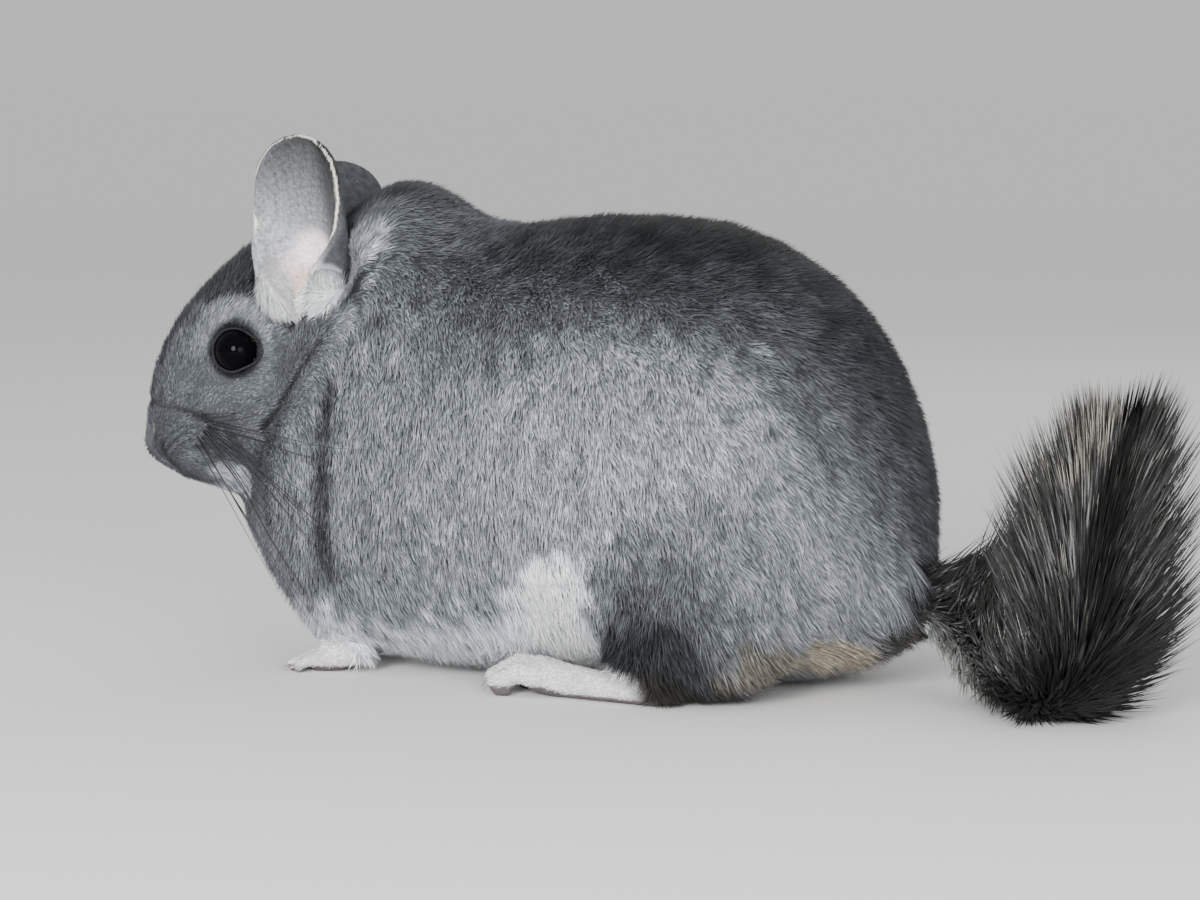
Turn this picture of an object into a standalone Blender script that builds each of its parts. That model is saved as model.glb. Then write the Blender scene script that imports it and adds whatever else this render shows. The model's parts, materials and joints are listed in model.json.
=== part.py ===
"""A standard grey chinchilla at life size, sitting hunched on its four feet with its brush of a tail curled up.

Metres, +Z up. The animal faces -X, and its left side faces -Y. The flesh is modelled whole, from lofts and
ellipsoids that are fused and smoothed, and is then parted with thin cuts into head, neck, torso and legs.
Feet, ears, eyes and the two lengths of the tail are made on their own and set against it.
"""

import math
import random

import bmesh
import bpy
import numpy as np
from mathutils import Matrix, Vector

MM = 0.001
GAP = 0.3 * MM  # between nodes that touch

# Sizes of the whole animal, in millimetres. Each torso station is
# (distance along X, lowest point, highest point, half width).
TORSO_STATIONS = (
    (-89.5, 44, 54, 4),
    (-87, 38, 64, 10),
    (-83, 30.5, 80, 17.5),
    (-77, 21, 96, 25.5),
    (-69, 11.5, 111, 32.5),
    (-60, 5, 125, 39),
    (-50, 4, 135.5, 43),
    (-40, 3.5, 140.4, 46),
    (-29, 3.5, 138.8, 48.5),
    (-19, 3, 132, 50),
    (-8, 3, 129.6, 52),
    (15, 3, 132.4, 56.5),
    (45, 2, 132.2, 60),
    (63, 2, 128.4, 60.5),
    (80, 3.5, 119, 56.5),
    (94, 6, 106.5, 47.5),
    (104, 11, 92, 37),
    (110, 18, 80, 27),
    (114, 27, 69, 16),
    (115.8, 38, 56, 6),
)
TORSO_POWER = 2.25  # 2 is an ellipse, more is squarer

# The head is lofted along a line that runs down its face. A station is
# (distance along that line, lowest, highest, half width).
HEAD_ORIGIN = (-70.4, 0, 98)
HEAD_PITCH = 40.0
HEAD_STATIONS = (
    (-20, -18, 14, 14),
    (-14, -27, 24, 21),
    (-4, -29.5, 29, 25),
    (6, -29.5, 29.2, 24.8),
    (16, -29.5, 28.4, 23.6),
    (26, -28.5, 26.6, 21.8),
    (34, -27.8, 24, 19.6),
    (41, -26.4, 20.4, 17),
    (46.5, -24.4, 16, 14.8),
    (51, -19.4, 12, 12.4),
    (55, -13.8, 9.6, 10),
    (58, -9, 8, 7.6),
    (60, -5.2, 6.2, 5.4),
    (61.2, -1.6, 3.4, 2.4),
)
HEAD_POWER = 2.1
HEAD_PIVOT = (-58, 0, 93)
HEAD_YAW, HEAD_ROLL = 8.0, -4.0  # the nose turns to the left, the left ear is held higher

EYE_CENTRE = (-85.7, -20.4, 90.8)  # the left one, before the head turns
EYE_RADIUS = 6.9
LID_RADIUS, LID_THICKNESS = 6.4, 1.3
EYE_YAW = 78.0  # how far the eye looks out from straight ahead

# The left ear runs from its foot to its top, before the head turns, and opens EAR_FACING
# degrees round from straight ahead.
EAR_ROOT, EAR_TOP = (-67.9, -15.5, 101), (-66.0, -37.7, 151.4)
RIGHT_FOOT_SHIFT, RIGHT_TOP_SHIFT = (-0.8, -1, -1), (-4.4, -1, -1.6)
EAR_FACING = 62.0
EAR_BODY = (
    (-0.12, 3, 0, 6, 0),
    (-0.07, 9, -4, 9, 0),
    (0.02, 13.8, -8, 11, 0),
    (0.14, 16.2, -9.5, 11.5, 0.3),
    (0.28, 17.2, -8.5, 9.5, 0.6),
    (0.44, 17.2, -6.5, 6.5, 0.5),
    (0.6, 16.9, -5, 4, 0.2),
    (0.74, 16.2, -3.8, 3, 0.5),
    (0.86, 13.8, -2.8, 2, 1.9),
    (0.94, 10.0, -2, 1.2, 3.1),
    (0.985, 5.4, -1.4, 0.4, 3.9),
    (1.0, 2.0, -1, -0.2, 4.2),
)
EAR_HOLLOW = (
    (0.02, 0.8, 3, 18, -0.6),
    (0.09, 2.4, -3, 19, -0.8),
    (0.2, 4.8, -6, 19, -1),
    (0.3, 8.6, -6.2, 19, -1.2),
    (0.42, 13.0, -5.2, 17, -1.1),
    (0.55, 15.1, -3.9, 15, -0.5),
    (0.7, 15.2, -2.8, 14, 0.3),
    (0.82, 13.5, -1.7, 13, 1.5),
    (0.9, 11.0, -1, 12, 2.5),
    (0.955, 7.2, -0.5, 11, 3.4),
    (0.985, 3.2, 0.2, 10, 3.9),
)

FOOT_LENGTH = 58.0
HIND_HEEL, FORE_WRIST = (47, -50, -0.3), (-54, -14.5, -0.7)
HIND_TURN, FORE_TURN = -16.0, 4.0  # toes in, toes out

# The tail's axis, from inside the rump to its tip, with the radius of its flesh.
TAIL_AXIS = (
    (98, -3, 26, 10.5),
    (110, -7, 23.5, 10),
    (122, -14, 19.5, 9),
    (134, -24, 14, 8.2),
    (145, -36, 9.5, 8.4),
    (153.5, -45, 8.8, 8.6),
    (158, -49.5, 15, 7.8),
    (160, -50.5, 29, 6.4),
    (162, -49.5, 43, 5.2),
    (165, -47.5, 56, 3.8),
    (167, -46, 64, 2.2),
)
BRUSH_STARTS = 0.20  # share of the tail's length where its long hair begins
# The dense under-hair of the brush, half way out to the tips: centre, then radii.
BRUSH_CORE = (
    ((138, -29, 20), (13, 8, 9)),
    ((160, -48, 31), (16, 12, 20)),
    ((166, -47.5, 53), (13, 10, 17)),
)
LOCK_COUNT = 60
# Rows of further locks: how many, from and to which share of the brush, on which side.
LOCK_ROWS = (
    (16, 0.0, 0.34, (0, 0, 1)),
    (9, 0.34, 0.85, (1, 0.2, 0.2)),
    (6, 0.55, 0.95, (-1, -0.3, 0.2)),
)
LOCK_SIDES = 4
LOCK_WIDTHS = (8.8, 12.0)
LOCK_TWIST = 1.1  # most that a lock's flat side turns about its length, in radians
PARTING = (0.4, -0.9, 0)  # the side on which the hair parts
FAN_SIDE = (0.97, 0.26, 0)  # the side to which it spreads the widest
LOCK_LIFT = 0.3

VOXEL_FLESH, VOXEL_FOOT = 1.5, 0.8
FLESH_TRIANGLES, FOOT_TRIANGLES = 3400, 240

GREY_COAT = (0.135, 0.145, 0.165, 1)
PALE_FUR = (0.62, 0.63, 0.65, 1)
EAR_SKIN = (0.34, 0.30, 0.32, 1)
EYE_BLACK = (0.006, 0.006, 0.009, 1)
TAIL_DARK = (0.10, 0.10, 0.11, 1)


def clear_scene():
    for obj in list(bpy.data.objects):
        bpy.data.objects.remove(obj)


def new_material(name, colour, roughness):
    made = bpy.data.materials.new(name)
    made.use_nodes = True
    shader = made.node_tree.nodes["Principled BSDF"]
    shader.inputs["Base Color"].default_value = colour
    shader.inputs["Roughness"].default_value = roughness
    shader.inputs["Metallic"].default_value = 0.0
    return made


def linked(name, mesh):
    obj = bpy.data.objects.new(name, mesh)
    bpy.context.scene.collection.objects.link(obj)
    return obj


def finished(name, bm):
    """The bmesh as a named object, with its faces pointing out."""
    bmesh.ops.recalc_face_normals(bm, faces=bm.faces)
    if bm.calc_volume(signed=True) < 0:
        bmesh.ops.reverse_faces(bm, faces=bm.faces)
    mesh = bpy.data.meshes.new(name)
    bm.to_mesh(mesh)
    bm.free()
    return linked(name, mesh)


def removed(obj):
    bpy.data.objects.remove(obj)


def applied(obj):
    """Replaces the object's mesh by what its modifiers make of it."""
    bpy.context.view_layer.update()
    graph = bpy.context.evaluated_depsgraph_get()
    mesh = bpy.data.meshes.new_from_object(obj.evaluated_get(graph))
    obj.modifiers.clear()
    obj.data = mesh
    return obj


def between(stations, count):
    """The stations read as smooth curves at evenly spaced steps along their length."""
    rows = np.array(stations, float)
    steps = np.linalg.norm(np.diff(rows, axis=0), axis=1)
    along = np.concatenate([[0], np.cumsum(steps)])
    slopes = np.gradient(rows, along, axis=0)
    at = np.linspace(0, along[-1], count)
    k = np.clip(np.searchsorted(along, at, side="right") - 1, 0, len(along) - 2)
    span = (along[k + 1] - along[k])[:, None]
    t = ((at - along[k]) / span[:, 0])[:, None]
    return (
        (2 * t**3 - 3 * t**2 + 1) * rows[k]
        + (t**3 - 2 * t**2 + t) * span * slopes[k]
        + (3 * t**2 - 2 * t**3) * rows[k + 1]
        + (t**3 - t**2) * span * slopes[k + 1]
    )


def superellipse(power, count):
    """Points (across, up) round a section of half width and half height 1."""
    for i in range(count):
        turn = 2 * math.pi * i / count
        c, s = math.cos(turn), math.sin(turn)
        yield (
            math.copysign(abs(c) ** (2 / power), c),
            math.copysign(abs(s) ** (2 / power), s),
        )


def lofted(name, rings, split=False):
    """A closed skin over rings of points, all of one length, with a pole at each end. split
    makes all its faces triangles."""
    bm = bmesh.new()
    made = [[bm.verts.new(p) for p in ring] for ring in rings]
    for here, there in zip(made, made[1:]):
        for i in range(len(here)):
            j = (i + 1) % len(here)
            bm.faces.new((here[i], here[j], there[j], there[i]))
    for ring in (made[0], made[-1]):
        centre = sum((v.co for v in ring), Vector()) / len(ring)
        pole = bm.verts.new(centre)
        for i in range(len(ring)):
            bm.faces.new((ring[i], ring[(i + 1) % len(ring)], pole))
    if split:
        bmesh.ops.triangulate(bm, faces=bm.faces)
    return finished(name, bm)


def profile_loft(name, stations, power, place, rings=60, points=40):
    """A loft whose sections stand between a lowest and a highest point. place maps
    (along, across, up) in millimetres to a point in metres."""
    sections = []
    for along, low, high, half in between(stations, rings):
        middle, rise = (low + high) / 2, (high - low) / 2
        sections.append(
            [
                place(along, half * across, middle + rise * up)
                for across, up in superellipse(power, points)
            ]
        )
    return lofted(name, sections)


def ellipsoid(name, centre, radii, turn=None, segments=24):
    """An ellipsoid with its centre and radii in millimetres."""
    bm = bmesh.new()
    bmesh.ops.create_uvsphere(
        bm, u_segments=segments, v_segments=segments // 2, radius=1
    )
    size = Matrix.Diagonal((*[r * MM for r in radii], 1))
    spin = turn.to_4x4() if turn else Matrix()
    bm.transform(Matrix.Translation(Vector(centre) * MM) @ spin @ size)
    return finished(name, bm)


def box(name, low, high):
    bm = bmesh.new()
    bmesh.ops.create_cube(bm, size=1)
    low, high = Vector(low) * MM, Vector(high) * MM
    size = Matrix.Diagonal((*(high - low), 1))
    bm.transform(Matrix.Translation((low + high) / 2) @ size)
    return finished(name, bm)


def capsule(name, start, end, start_radius, end_radius, flatten=1.0):
    """A round-ended limb between two points in millimetres."""
    start, end = Vector(start), Vector(end)
    axis = (end - start).normalized()
    across = axis.cross(Vector((0, 0, 1)))
    across = across.normalized() if across.length > 1e-3 else Vector((0, 1, 0))
    up = across.cross(axis)
    caps, points = 5, 16
    rings = []
    for k in range(1, caps + 1):
        a = math.pi / 2 * k / caps
        rings.append((start - axis * start_radius * math.cos(a), start_radius * math.sin(a)))
    for k in range(caps, 0, -1):
        a = math.pi / 2 * k / caps
        rings.append((end + axis * end_radius * math.cos(a), end_radius * math.sin(a)))
    return lofted(
        name,
        [
            [
                (centre + (across * c + up * (s * flatten)) * radius) * MM
                for c, s in superellipse(2, points)
            ]
            for centre, radius in rings
        ],
    )


def joined(name, pieces):
    """Several meshes put into one object, still as separate surfaces."""
    bm = bmesh.new()
    for piece in pieces:
        copy = piece.data.copy()
        copy.transform(piece.matrix_world)
        bm.from_mesh(copy)
        bpy.data.meshes.remove(copy)
        removed(piece)
    return finished(name, bm)


def fused(name, pieces, voxel, smoothing, triangles):
    """The pieces grown together into one smooth closed body of about so many triangles."""
    obj = joined(name, pieces)
    remesh = obj.modifiers.new("fuse", "REMESH")
    remesh.mode = "VOXEL"
    remesh.voxel_size = voxel * MM
    smooth = obj.modifiers.new("smooth", "SMOOTH")
    smooth.factor = 0.5
    smooth.iterations = smoothing
    applied(obj)
    faces = sum(len(p.vertices) - 2 for p in obj.data.polygons)
    thin = obj.modifiers.new("thin", "DECIMATE")
    thin.ratio = min(1.0, triangles / faces)
    thin.use_collapse_triangulate = True
    return applied(obj)


def copied(obj, name):
    return linked(name, obj.data.copy())


def grown(obj, by=GAP):
    """A copy of a body that stands the gap proud of it on all sides."""
    copy = copied(obj, obj.name + "_grown")
    swell = copy.modifiers.new("swell", "DISPLACE")
    swell.strength = by
    swell.mid_level = 0.0
    return applied(copy)


def boolean(obj, other, operation, solver="EXACT"):
    """Cuts, joins or keeps the overlap with another object or a collection, and applies it."""
    modifier = obj.modifiers.new("boolean", "BOOLEAN")
    modifier.operation = operation
    modifier.solver = solver
    if isinstance(other, bpy.types.Collection):
        modifier.operand_type = "COLLECTION"
        modifier.collection = other
    else:
        modifier.object = other
    return applied(obj)


def cut_away(obj, cutter, solver="EXACT"):
    boolean(obj, cutter, "DIFFERENCE", solver)
    removed(cutter)
    return obj


def kept_within(obj, region, solver="EXACT"):
    boolean(obj, region, "INTERSECT", solver)
    removed(region)
    return obj


def largest_body(obj):
    """Drops every loose surface but the largest one."""
    bm = bmesh.new()
    bm.from_mesh(obj.data)
    bmesh.ops.triangulate(bm, faces=bm.faces)
    left, shells = set(bm.verts), []
    while left:
        shell, reach = set(), [left.pop()]
        while reach:
            v = reach.pop()
            shell.add(v)
            for edge in v.link_edges:
                w = edge.other_vert(v)
                if w in left:
                    left.discard(w)
                    reach.append(w)
        shells.append(shell)
    shells.sort(key=lambda s: -len(s))
    spare = [v for shell in shells[1:] for v in shell]
    bmesh.ops.delete(bm, geom=spare, context="VERTS")
    bm.to_mesh(obj.data)
    bm.free()
    return obj


def in_head(along, across, up):
    """A point of the head's own frame, in millimetres, before the head turns."""
    pitch = math.radians(HEAD_PITCH)
    ahead = Vector((-math.cos(pitch), 0, -math.sin(pitch)))
    above = Vector((-math.sin(pitch), 0, math.cos(pitch)))
    return Vector(HEAD_ORIGIN) + ahead * along + above * up + Vector((0, across, 0))


def head_turn():
    """How the finished head is turned and tilted about the neck, as a matrix in metres."""
    pivot = Matrix.Translation(Vector(HEAD_PIVOT) * MM)
    yaw = Matrix.Rotation(math.radians(HEAD_YAW), 4, "Z")
    roll = Matrix.Rotation(math.radians(HEAD_ROLL), 4, "X")
    return pivot @ yaw @ roll @ pivot.inverted()


def turned(obj):
    obj.data.transform(head_turn())
    return obj


def mirrored(point):
    return (point[0], -point[1], point[2])


def head_masses():
    """The skull with its coat, cheeks, brows, whisker pads and chin."""
    masses = [
        profile_loft(
            "skull",
            HEAD_STATIONS,
            HEAD_POWER,
            lambda along, across, up: in_head(along, across, up) * MM,
            rings=44,
            points=32,
        )
    ]
    for side in (-1, 1):
        masses += [
            ellipsoid("cheek", in_head(20, side * 15, -17), (18, 12.5, 14)),
            ellipsoid("whisker_pad", in_head(47.2, side * 8.2, -5.0), (9.2, 8.2, 8.4)),
            ellipsoid("brow", in_head(15, side * 13, 14), (12, 8, 8)),
            ellipsoid("orbit", (EYE_CENTRE[0], side * 18.6, EYE_CENTRE[2]), (12, 6, 11)),
            ellipsoid("ear_root", in_head(-8, side * 14, 12), (12, 9, 13)),
        ]
    masses.append(ellipsoid("chin", in_head(43, 0, -19), (9, 8.5, 7.5)))
    masses.append(ellipsoid("nose", in_head(57.8, 0, 3.4), (3.4, 4.4, 4.4)))
    return [turned(m) for m in masses]


def body_masses():
    """The torso, the haunches, the shoulders, the forearms and the roll of fur on the nape."""
    masses = [
        profile_loft(
            "torso",
            TORSO_STATIONS,
            TORSO_POWER,
            lambda along, across, up: Vector((along, across, up)) * MM,
            rings=72,
            points=48,
        )
    ]
    for side in (-1, 1):
        masses += [
            ellipsoid("haunch", (57, side * 41, 28), (30, 20.5, 28)),
            ellipsoid("hock", (45, side * 47, 10), (15, 9.5, 11)),
            ellipsoid("shoulder", (-48, side * 30, 52), (26, 15, 40)),
            capsule("forearm", (-46, side * 17, 22), (-57, side * 14.5, 8), 10.5, 5.6),
        ]
    return masses


def flesh_body():
    return fused(
        "flesh", body_masses() + head_masses(), VOXEL_FLESH, 9, FLESH_TRIANGLES
    )


def half_space(point, ahead, reach=320):
    """A big block that holds all that lies on the far side of a plane, with point in millimetres."""
    bm = bmesh.new()
    bmesh.ops.create_cube(bm, size=1)
    ahead = Vector(ahead).normalized()
    turn = ahead.to_track_quat("Z", "Y").to_matrix().to_4x4()
    lift = Matrix.Translation((0, 0, 0.5))
    size = Matrix.Diagonal((reach * MM, reach * MM, reach * MM, 1))
    bm.transform(Matrix.Translation(Vector(point) * MM) @ turn @ size @ lift)
    return finished("half_space", bm)


def leg_region(centre, radii):
    """The room that a leg takes up in the flesh."""
    return ellipsoid("region", centre, radii, segments=14)


NECK_FACES = ((-66, -4, 84), (-53, -3, 77))  # a point of the cut before and behind the neck
NECK_AHEAD = (-0.88, -0.12, 0.46)


def parted_flesh(flesh):
    """Head, neck, torso and the four legs, each cut out of the whole with a thin gap."""
    gap = GAP / MM
    ahead = Vector(NECK_AHEAD).normalized()
    front, rear = (Vector(p) for p in NECK_FACES)
    head = kept_within(copied(flesh, "head"), half_space(front + ahead * gap, ahead))
    neck = kept_within(copied(flesh, "neck"), half_space(front, -ahead))
    kept_within(neck, half_space(rear + ahead * gap, ahead))
    torso = kept_within(copied(flesh, "torso"), half_space(rear, -ahead))
    legs = []
    for word, side in (("left", -1), ("right", 1)):
        for name, centre, radii in (
            ("foreleg_" + word, (-54, side * 15, 4), (17, 11.5, 22)),
            ("hind_leg_" + word, (66, side * 50, 18), (41, 28, 42)),
        ):
            leg = kept_within(copied(torso, name), leg_region(centre, radii))
            cut_away(torso, leg_region(centre, [r + gap for r in radii]))
            legs.append(leg)
    return head, neck, torso, legs


def eye_matrix(side):
    """The place and the turn of an eye, whose own +Z looks out."""
    centre = EYE_CENTRE if side < 0 else mirrored(EYE_CENTRE)
    yaw = math.radians(EYE_YAW)
    look = Vector((-math.cos(yaw), side * math.sin(yaw), 0.1))
    turn = look.to_track_quat("Z", "Y").to_matrix().to_4x4()
    return Matrix.Translation(Vector(centre) * MM) @ turn


def eyeball(name, side, radius):
    bm = bmesh.new()
    bmesh.ops.create_uvsphere(bm, u_segments=14, v_segments=9, radius=radius * MM)
    bm.transform(head_turn() @ eye_matrix(side))
    return finished(name, bm)


def lid_ring(side):
    """The two lids as one raised rim round the eye, drawn out to a corner behind it."""
    bm = bmesh.new()
    around, across = 20, 6
    rings = []
    for i in range(around):
        a = 2 * math.pi * i / around
        corner = max(0.0, math.cos(a)) ** 6
        radius = LID_RADIUS * (1 + 0.22 * corner)
        height = 0.48 * EYE_RADIUS - 0.9 * corner
        thick = LID_THICKNESS * (1.0 - 0.25 * corner)
        outward = Vector((math.cos(a), math.sin(a), 0))
        centre = outward * radius + Vector((0, 0, height))
        rings.append(
            [
                bm.verts.new(
                    (centre + outward * (thick * c) + Vector((0, 0, thick * 1.1 * s))) * MM
                )
                for c, s in superellipse(2, across)
            ]
        )
    for i in range(around):
        here, there = rings[i], rings[(i + 1) % around]
        for j in range(across):
            k = (j + 1) % across
            bm.faces.new((here[j], here[k], there[k], there[j]))
    bm.transform(head_turn() @ eye_matrix(side))
    return finished("lid", bm)


def bent_tube(name, points, radius, sides=6):
    """A closed tube through points of the head's frame, for cutting the mouth."""
    rings = []
    places = [in_head(*p) for p in points]
    for i, p in enumerate(places):
        along = (places[min(i + 1, len(places) - 1)] - places[max(i - 1, 0)]).normalized()
        across = along.cross(Vector((0.3, 0.1, 1))).normalized()
        up = across.cross(along)
        rings.append(
            [(p + (across * c + up * s) * radius) * MM for c, s in superellipse(2, sides)]
        )
    return lofted(name, rings)


def mouth_points(side):
    """The line between the lips, from under the nose round to a corner of the mouth."""
    return [
        (61.5, side * 0.0, -8.5),
        (59.2, side * 3.6, -12.2),
        (55.2, side * 7.4, -15.4),
        (50.2, side * 10.8, -16.6),
        (45.5, side * 13.6, -15.6),
    ]


def finish_head(head):
    """Cuts the sockets, adds the lids, and opens the nostrils, the lip's cleft and the mouth."""
    for side in (-1, 1):
        boolean(head, lid_ring(side), "UNION")
        cut_away(head, eyeball("socket", side, EYE_RADIUS + GAP / MM))
    for obj in [o for o in bpy.data.objects if o.name.startswith("lid")]:
        removed(obj)
    cleft = bent_tube("cleft", [(63.2, 0, 1.2), (62.9, 0, -4), (61.2, 0, -9)], 0.65)
    cut_away(head, turned(cleft))
    for side in (-1, 1):
        nostril = in_head(61.2, side * 3.0, 3.2)
        nostril = ellipsoid("nostril", nostril, (1.9, 1.0, 1.2), segments=8)
        cut_away(head, turned(nostril))
        cut_away(head, turned(bent_tube("mouth", mouth_points(side), 0.75)))
    return largest_body(head)


def ear_loft(name, side, stations):
    """A body along the ear's axis. Each station is (share of its height, half width, nearest and
    farthest point towards the opening, shift to the rear)."""
    foot, top = Vector(EAR_ROOT), Vector(EAR_TOP)
    look = math.radians(EAR_FACING)
    opening = Vector((-math.cos(look), -math.sin(look), 0))
    if side > 0:
        foot, top = foot + Vector(RIGHT_FOOT_SHIFT), top + Vector(RIGHT_TOP_SHIFT)
        foot, top, opening = (Vector(mirrored(v)) for v in (foot, top, opening))
    axis = (top - foot).normalized()
    opening = (opening - axis * opening.dot(axis)).normalized()
    rear = Vector((1, 0, 0))
    rear = (rear - axis * rear.dot(axis) - opening * rear.dot(opening)).normalized()
    rings = []
    for share, half, back, front, shift in between(stations, 12):
        middle, depth = (front + back) / 2, (front - back) / 2
        centre = foot + (top - foot) * share + opening * middle + rear * shift
        rings.append(
            [
                (centre + rear * (half * c) + opening * (depth * s)) * MM
                for c, s in superellipse(2.2, 14)
            ]
        )
    return turned(lofted(name, rings, split=True))


def toe(name, root, tip, thick):
    """One toe: it rises over its knuckle and comes down to a pad and a blunt nail."""
    root, tip = Vector(root), Vector(tip)
    knuckle = root.lerp(tip, 0.45) + Vector((0, 0, thick * 0.55))
    nail = tip + (tip - root).normalized() * thick * 0.9 + Vector((0, 0, thick * 0.05))
    return [
        capsule(name, root, knuckle, thick * 1.05, thick),
        capsule(name, knuckle, tip, thick, thick * 0.9),
        capsule(name, tip, nail, thick * 0.55, thick * 0.3),
    ]


def placed_foot(obj, at, turn, side):
    """Sets a foot that was made at the origin, toes to -X, in its place. turn points its toes out."""
    spin = Matrix.Rotation(math.radians(-side * turn), 4, "Z")
    place = Matrix.Translation(Vector((at[0], abs(at[1]) * side, at[2])) * MM)
    obj.data.transform(place @ spin)
    return obj


def hind_foot(name, side):
    """The long hind foot, flat on the ground from its heel to three toes and a small inner one."""
    s = side
    pieces = [
        capsule("sole", (0, 0, 4.2), (-36, 0, 4.6), 4.8, 5.6, 0.95),
        capsule("arch", (-2, 0, 6), (-30, -s * 0.5, 6.5), 4.2, 4.6),
        ellipsoid("ball", (-36, 0, 6.2), (9.5, 8, 6.2)),
    ]
    pieces += toe("toe", (-38, s * 4.6, 5.2), (-48.5, s * 7.0, 3.2), 3.4)
    pieces += toe("toe", (-39, 0, 6.2), (-FOOT_LENGTH + 5.5, s * 0.6, 3.4), 3.7)
    pieces += toe("toe", (-38, -s * 4.6, 5.4), (-49.5, -s * 6.6, 3.2), 3.4)
    pieces += toe("toe", (-30, -s * 5.8, 3.8), (-35, -s * 8.2, 2.4), 2.0)
    return placed_foot(
        fused(name, pieces, VOXEL_FOOT, 3, FOOT_TRIANGLES), HIND_HEEL, HIND_TURN, s
    )


def fore_paw(name, side):
    """The small forepaw with four fingers, a palm pad and the stub of a thumb."""
    s = side
    pieces = [
        capsule("wrist", (3, 0, 7), (-4, 0, 4.6), 4.6, 4.4),
        ellipsoid("palm", (-6, 0, 3.9), (6.2, 5.6, 4.0)),
    ]
    for across, reach in ((-4.2, 13.2), (-1.5, 15.6), (1.5, 15.6), (4.2, 13.4)):
        pieces += toe(
            "finger", (-7, s * across * 0.8, 4.0), (-reach, s * across * 1.25, 2.0), 1.75
        )
    pieces += toe("finger", (-3, -s * 4.2, 3), (-6, -s * 6.2, 1.8), 1.4)
    return placed_foot(
        fused(name, pieces, VOXEL_FOOT * 0.75, 2, FOOT_TRIANGLES), FORE_WRIST, FORE_TURN, s
    )


def tail_frames(count):
    """Points down the tail's axis, each with its direction, two directions across and a radius."""
    rows = between(TAIL_AXIS, count)
    frames = []
    up = Vector((0, 0, 1))
    for i, row in enumerate(rows):
        ahead = Vector(rows[min(i + 1, count - 1)][:3] - rows[max(i - 1, 0)][:3])
        ahead.normalize()
        across = up.cross(ahead).normalized()
        up = ahead.cross(across).normalized()
        frames.append((Vector(row[:3]), ahead, across, up, row[3]))
    return frames


def tail_tube(name, frames, fatten=1.0):
    return lofted(
        name,
        [
            [
                (centre + (across * c + up * s) * (radius * fatten)) * MM
                for c, s in superellipse(2, 16)
            ]
            for centre, ahead, across, up, radius in frames
        ],
    )


def lock(root, direction, bend, flat, length, width):
    """A flat, tapered lock of long hair. It starts along direction, curves towards bend, and
    flat is the way across its broad side."""
    steps = 3
    place, heading = root.copy(), direction.normalized()
    rings = []
    for k in range(steps + 1):
        share = k / steps
        across = (flat - heading * flat.dot(heading)).normalized()
        normal = heading.cross(across)
        wide = width * (0.75 + 0.9 * share * (1 - share)) * (1 - share**2.6) + 0.5
        thick = width * 0.42 * (1 - share) ** 0.7 + 0.5
        rings.append(
            [
                (place + across * (wide / 2 * c) + normal * (thick / 2 * s)) * MM
                for c, s in superellipse(2, LOCK_SIDES)
            ]
        )
        place = place + heading * (length / steps)
        heading = (heading + bend * (1.0 / steps)).normalized()
    return lofted("lock", rings)


def hair_lie(outward, along):
    """How far the hair leans off the tail's line, in degrees, and how long it is, by the side
    of the tail that it grows from. It parts along the side that faces PARTING."""
    facing, aside = outward.dot(Vector(PARTING).normalized()), outward.dot(Vector(FAN_SIDE))
    below, above = max(0.0, -outward.z), max(0.0, outward.z)
    lean = 46 + (30 if aside > 0 else -2) * aside - 14 * max(0.0, facing) + 20 * above
    lean *= 1 - 0.55 * along**1.4
    length = 27 + 17 * min(1.0, along / 0.3) - 15 * max(0.0, along - 0.7) / 0.3
    length *= 1 - 0.36 * max(0.0, facing) ** 2
    length *= 1 + 0.22 * max(0.0, aside) * min(1.0, along / 0.4)
    return lean * (1 - 0.55 * below), length * (1 - 0.6 * below)


def lock_spots(frames):
    """Where the locks grow: the frame of the tail and the angle round it. They follow a spiral,
    with staggered rows added where the hair is fullest."""
    golden = math.pi * (3 - math.sqrt(5))
    for i in range(LOCK_COUNT):
        along = 0.01 + 0.98 * ((i + 0.5) / LOCK_COUNT) ** 0.95
        yield along, frames[int(along * len(frames))], golden * i
    for count, start, end, side in LOCK_ROWS:
        for i in range(count):
            along = start + (end - start) * (i + 0.5) / count
            frame = frames[int(along * len(frames))]
            toward = math.atan2(Vector(side).dot(frame[3]), Vector(side).dot(frame[2]))
            yield along, frame, toward + math.radians((0, 34, -30)[i % 3])


def brush_locks(frames, rng):
    """Locks set round the tail: swept back low down, spread like a fan at the bend, and close
    to the tail's own line near its tip."""
    locks = []
    for along, (centre, ahead, across, up, radius), turn in lock_spots(frames):
        turn += rng.uniform(-0.15, 0.15)
        outward = across * math.cos(turn) + up * math.sin(turn)
        lean, length = hair_lie(outward, along)
        lean = math.radians(lean + rng.uniform(-5, 5))
        direction = ahead * math.cos(lean) + outward * math.sin(lean)
        aside = max(0.0, outward.dot(Vector(FAN_SIDE)))
        direction.z += LOCK_LIFT + 0.3 * aside * max(0.0, 0.7 - along)
        flat = Matrix.Rotation(rng.uniform(-LOCK_TWIST, LOCK_TWIST), 3, direction)
        locks.append(
            lock(
                centre + outward * (radius * 0.4),
                direction,
                ahead * 0.2 + Vector((0, 0, 0.7)),
                flat @ ahead.cross(outward),
                length * rng.uniform(0.88, 1.08),
                rng.uniform(*LOCK_WIDTHS),
            )
        )
    return locks


def union_of(core, pieces, solver="MANIFOLD"):
    """One closed body of a core and the many pieces that grow from it."""
    group = bpy.data.collections.new("growths")
    bpy.context.scene.collection.children.link(group)
    for piece in pieces:
        bpy.context.scene.collection.objects.unlink(piece)
        group.objects.link(piece)
    boolean(core, group, "UNION", solver)
    for piece in list(group.objects):
        removed(piece)
    bpy.data.collections.remove(group)
    return largest_body(core)


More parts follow.
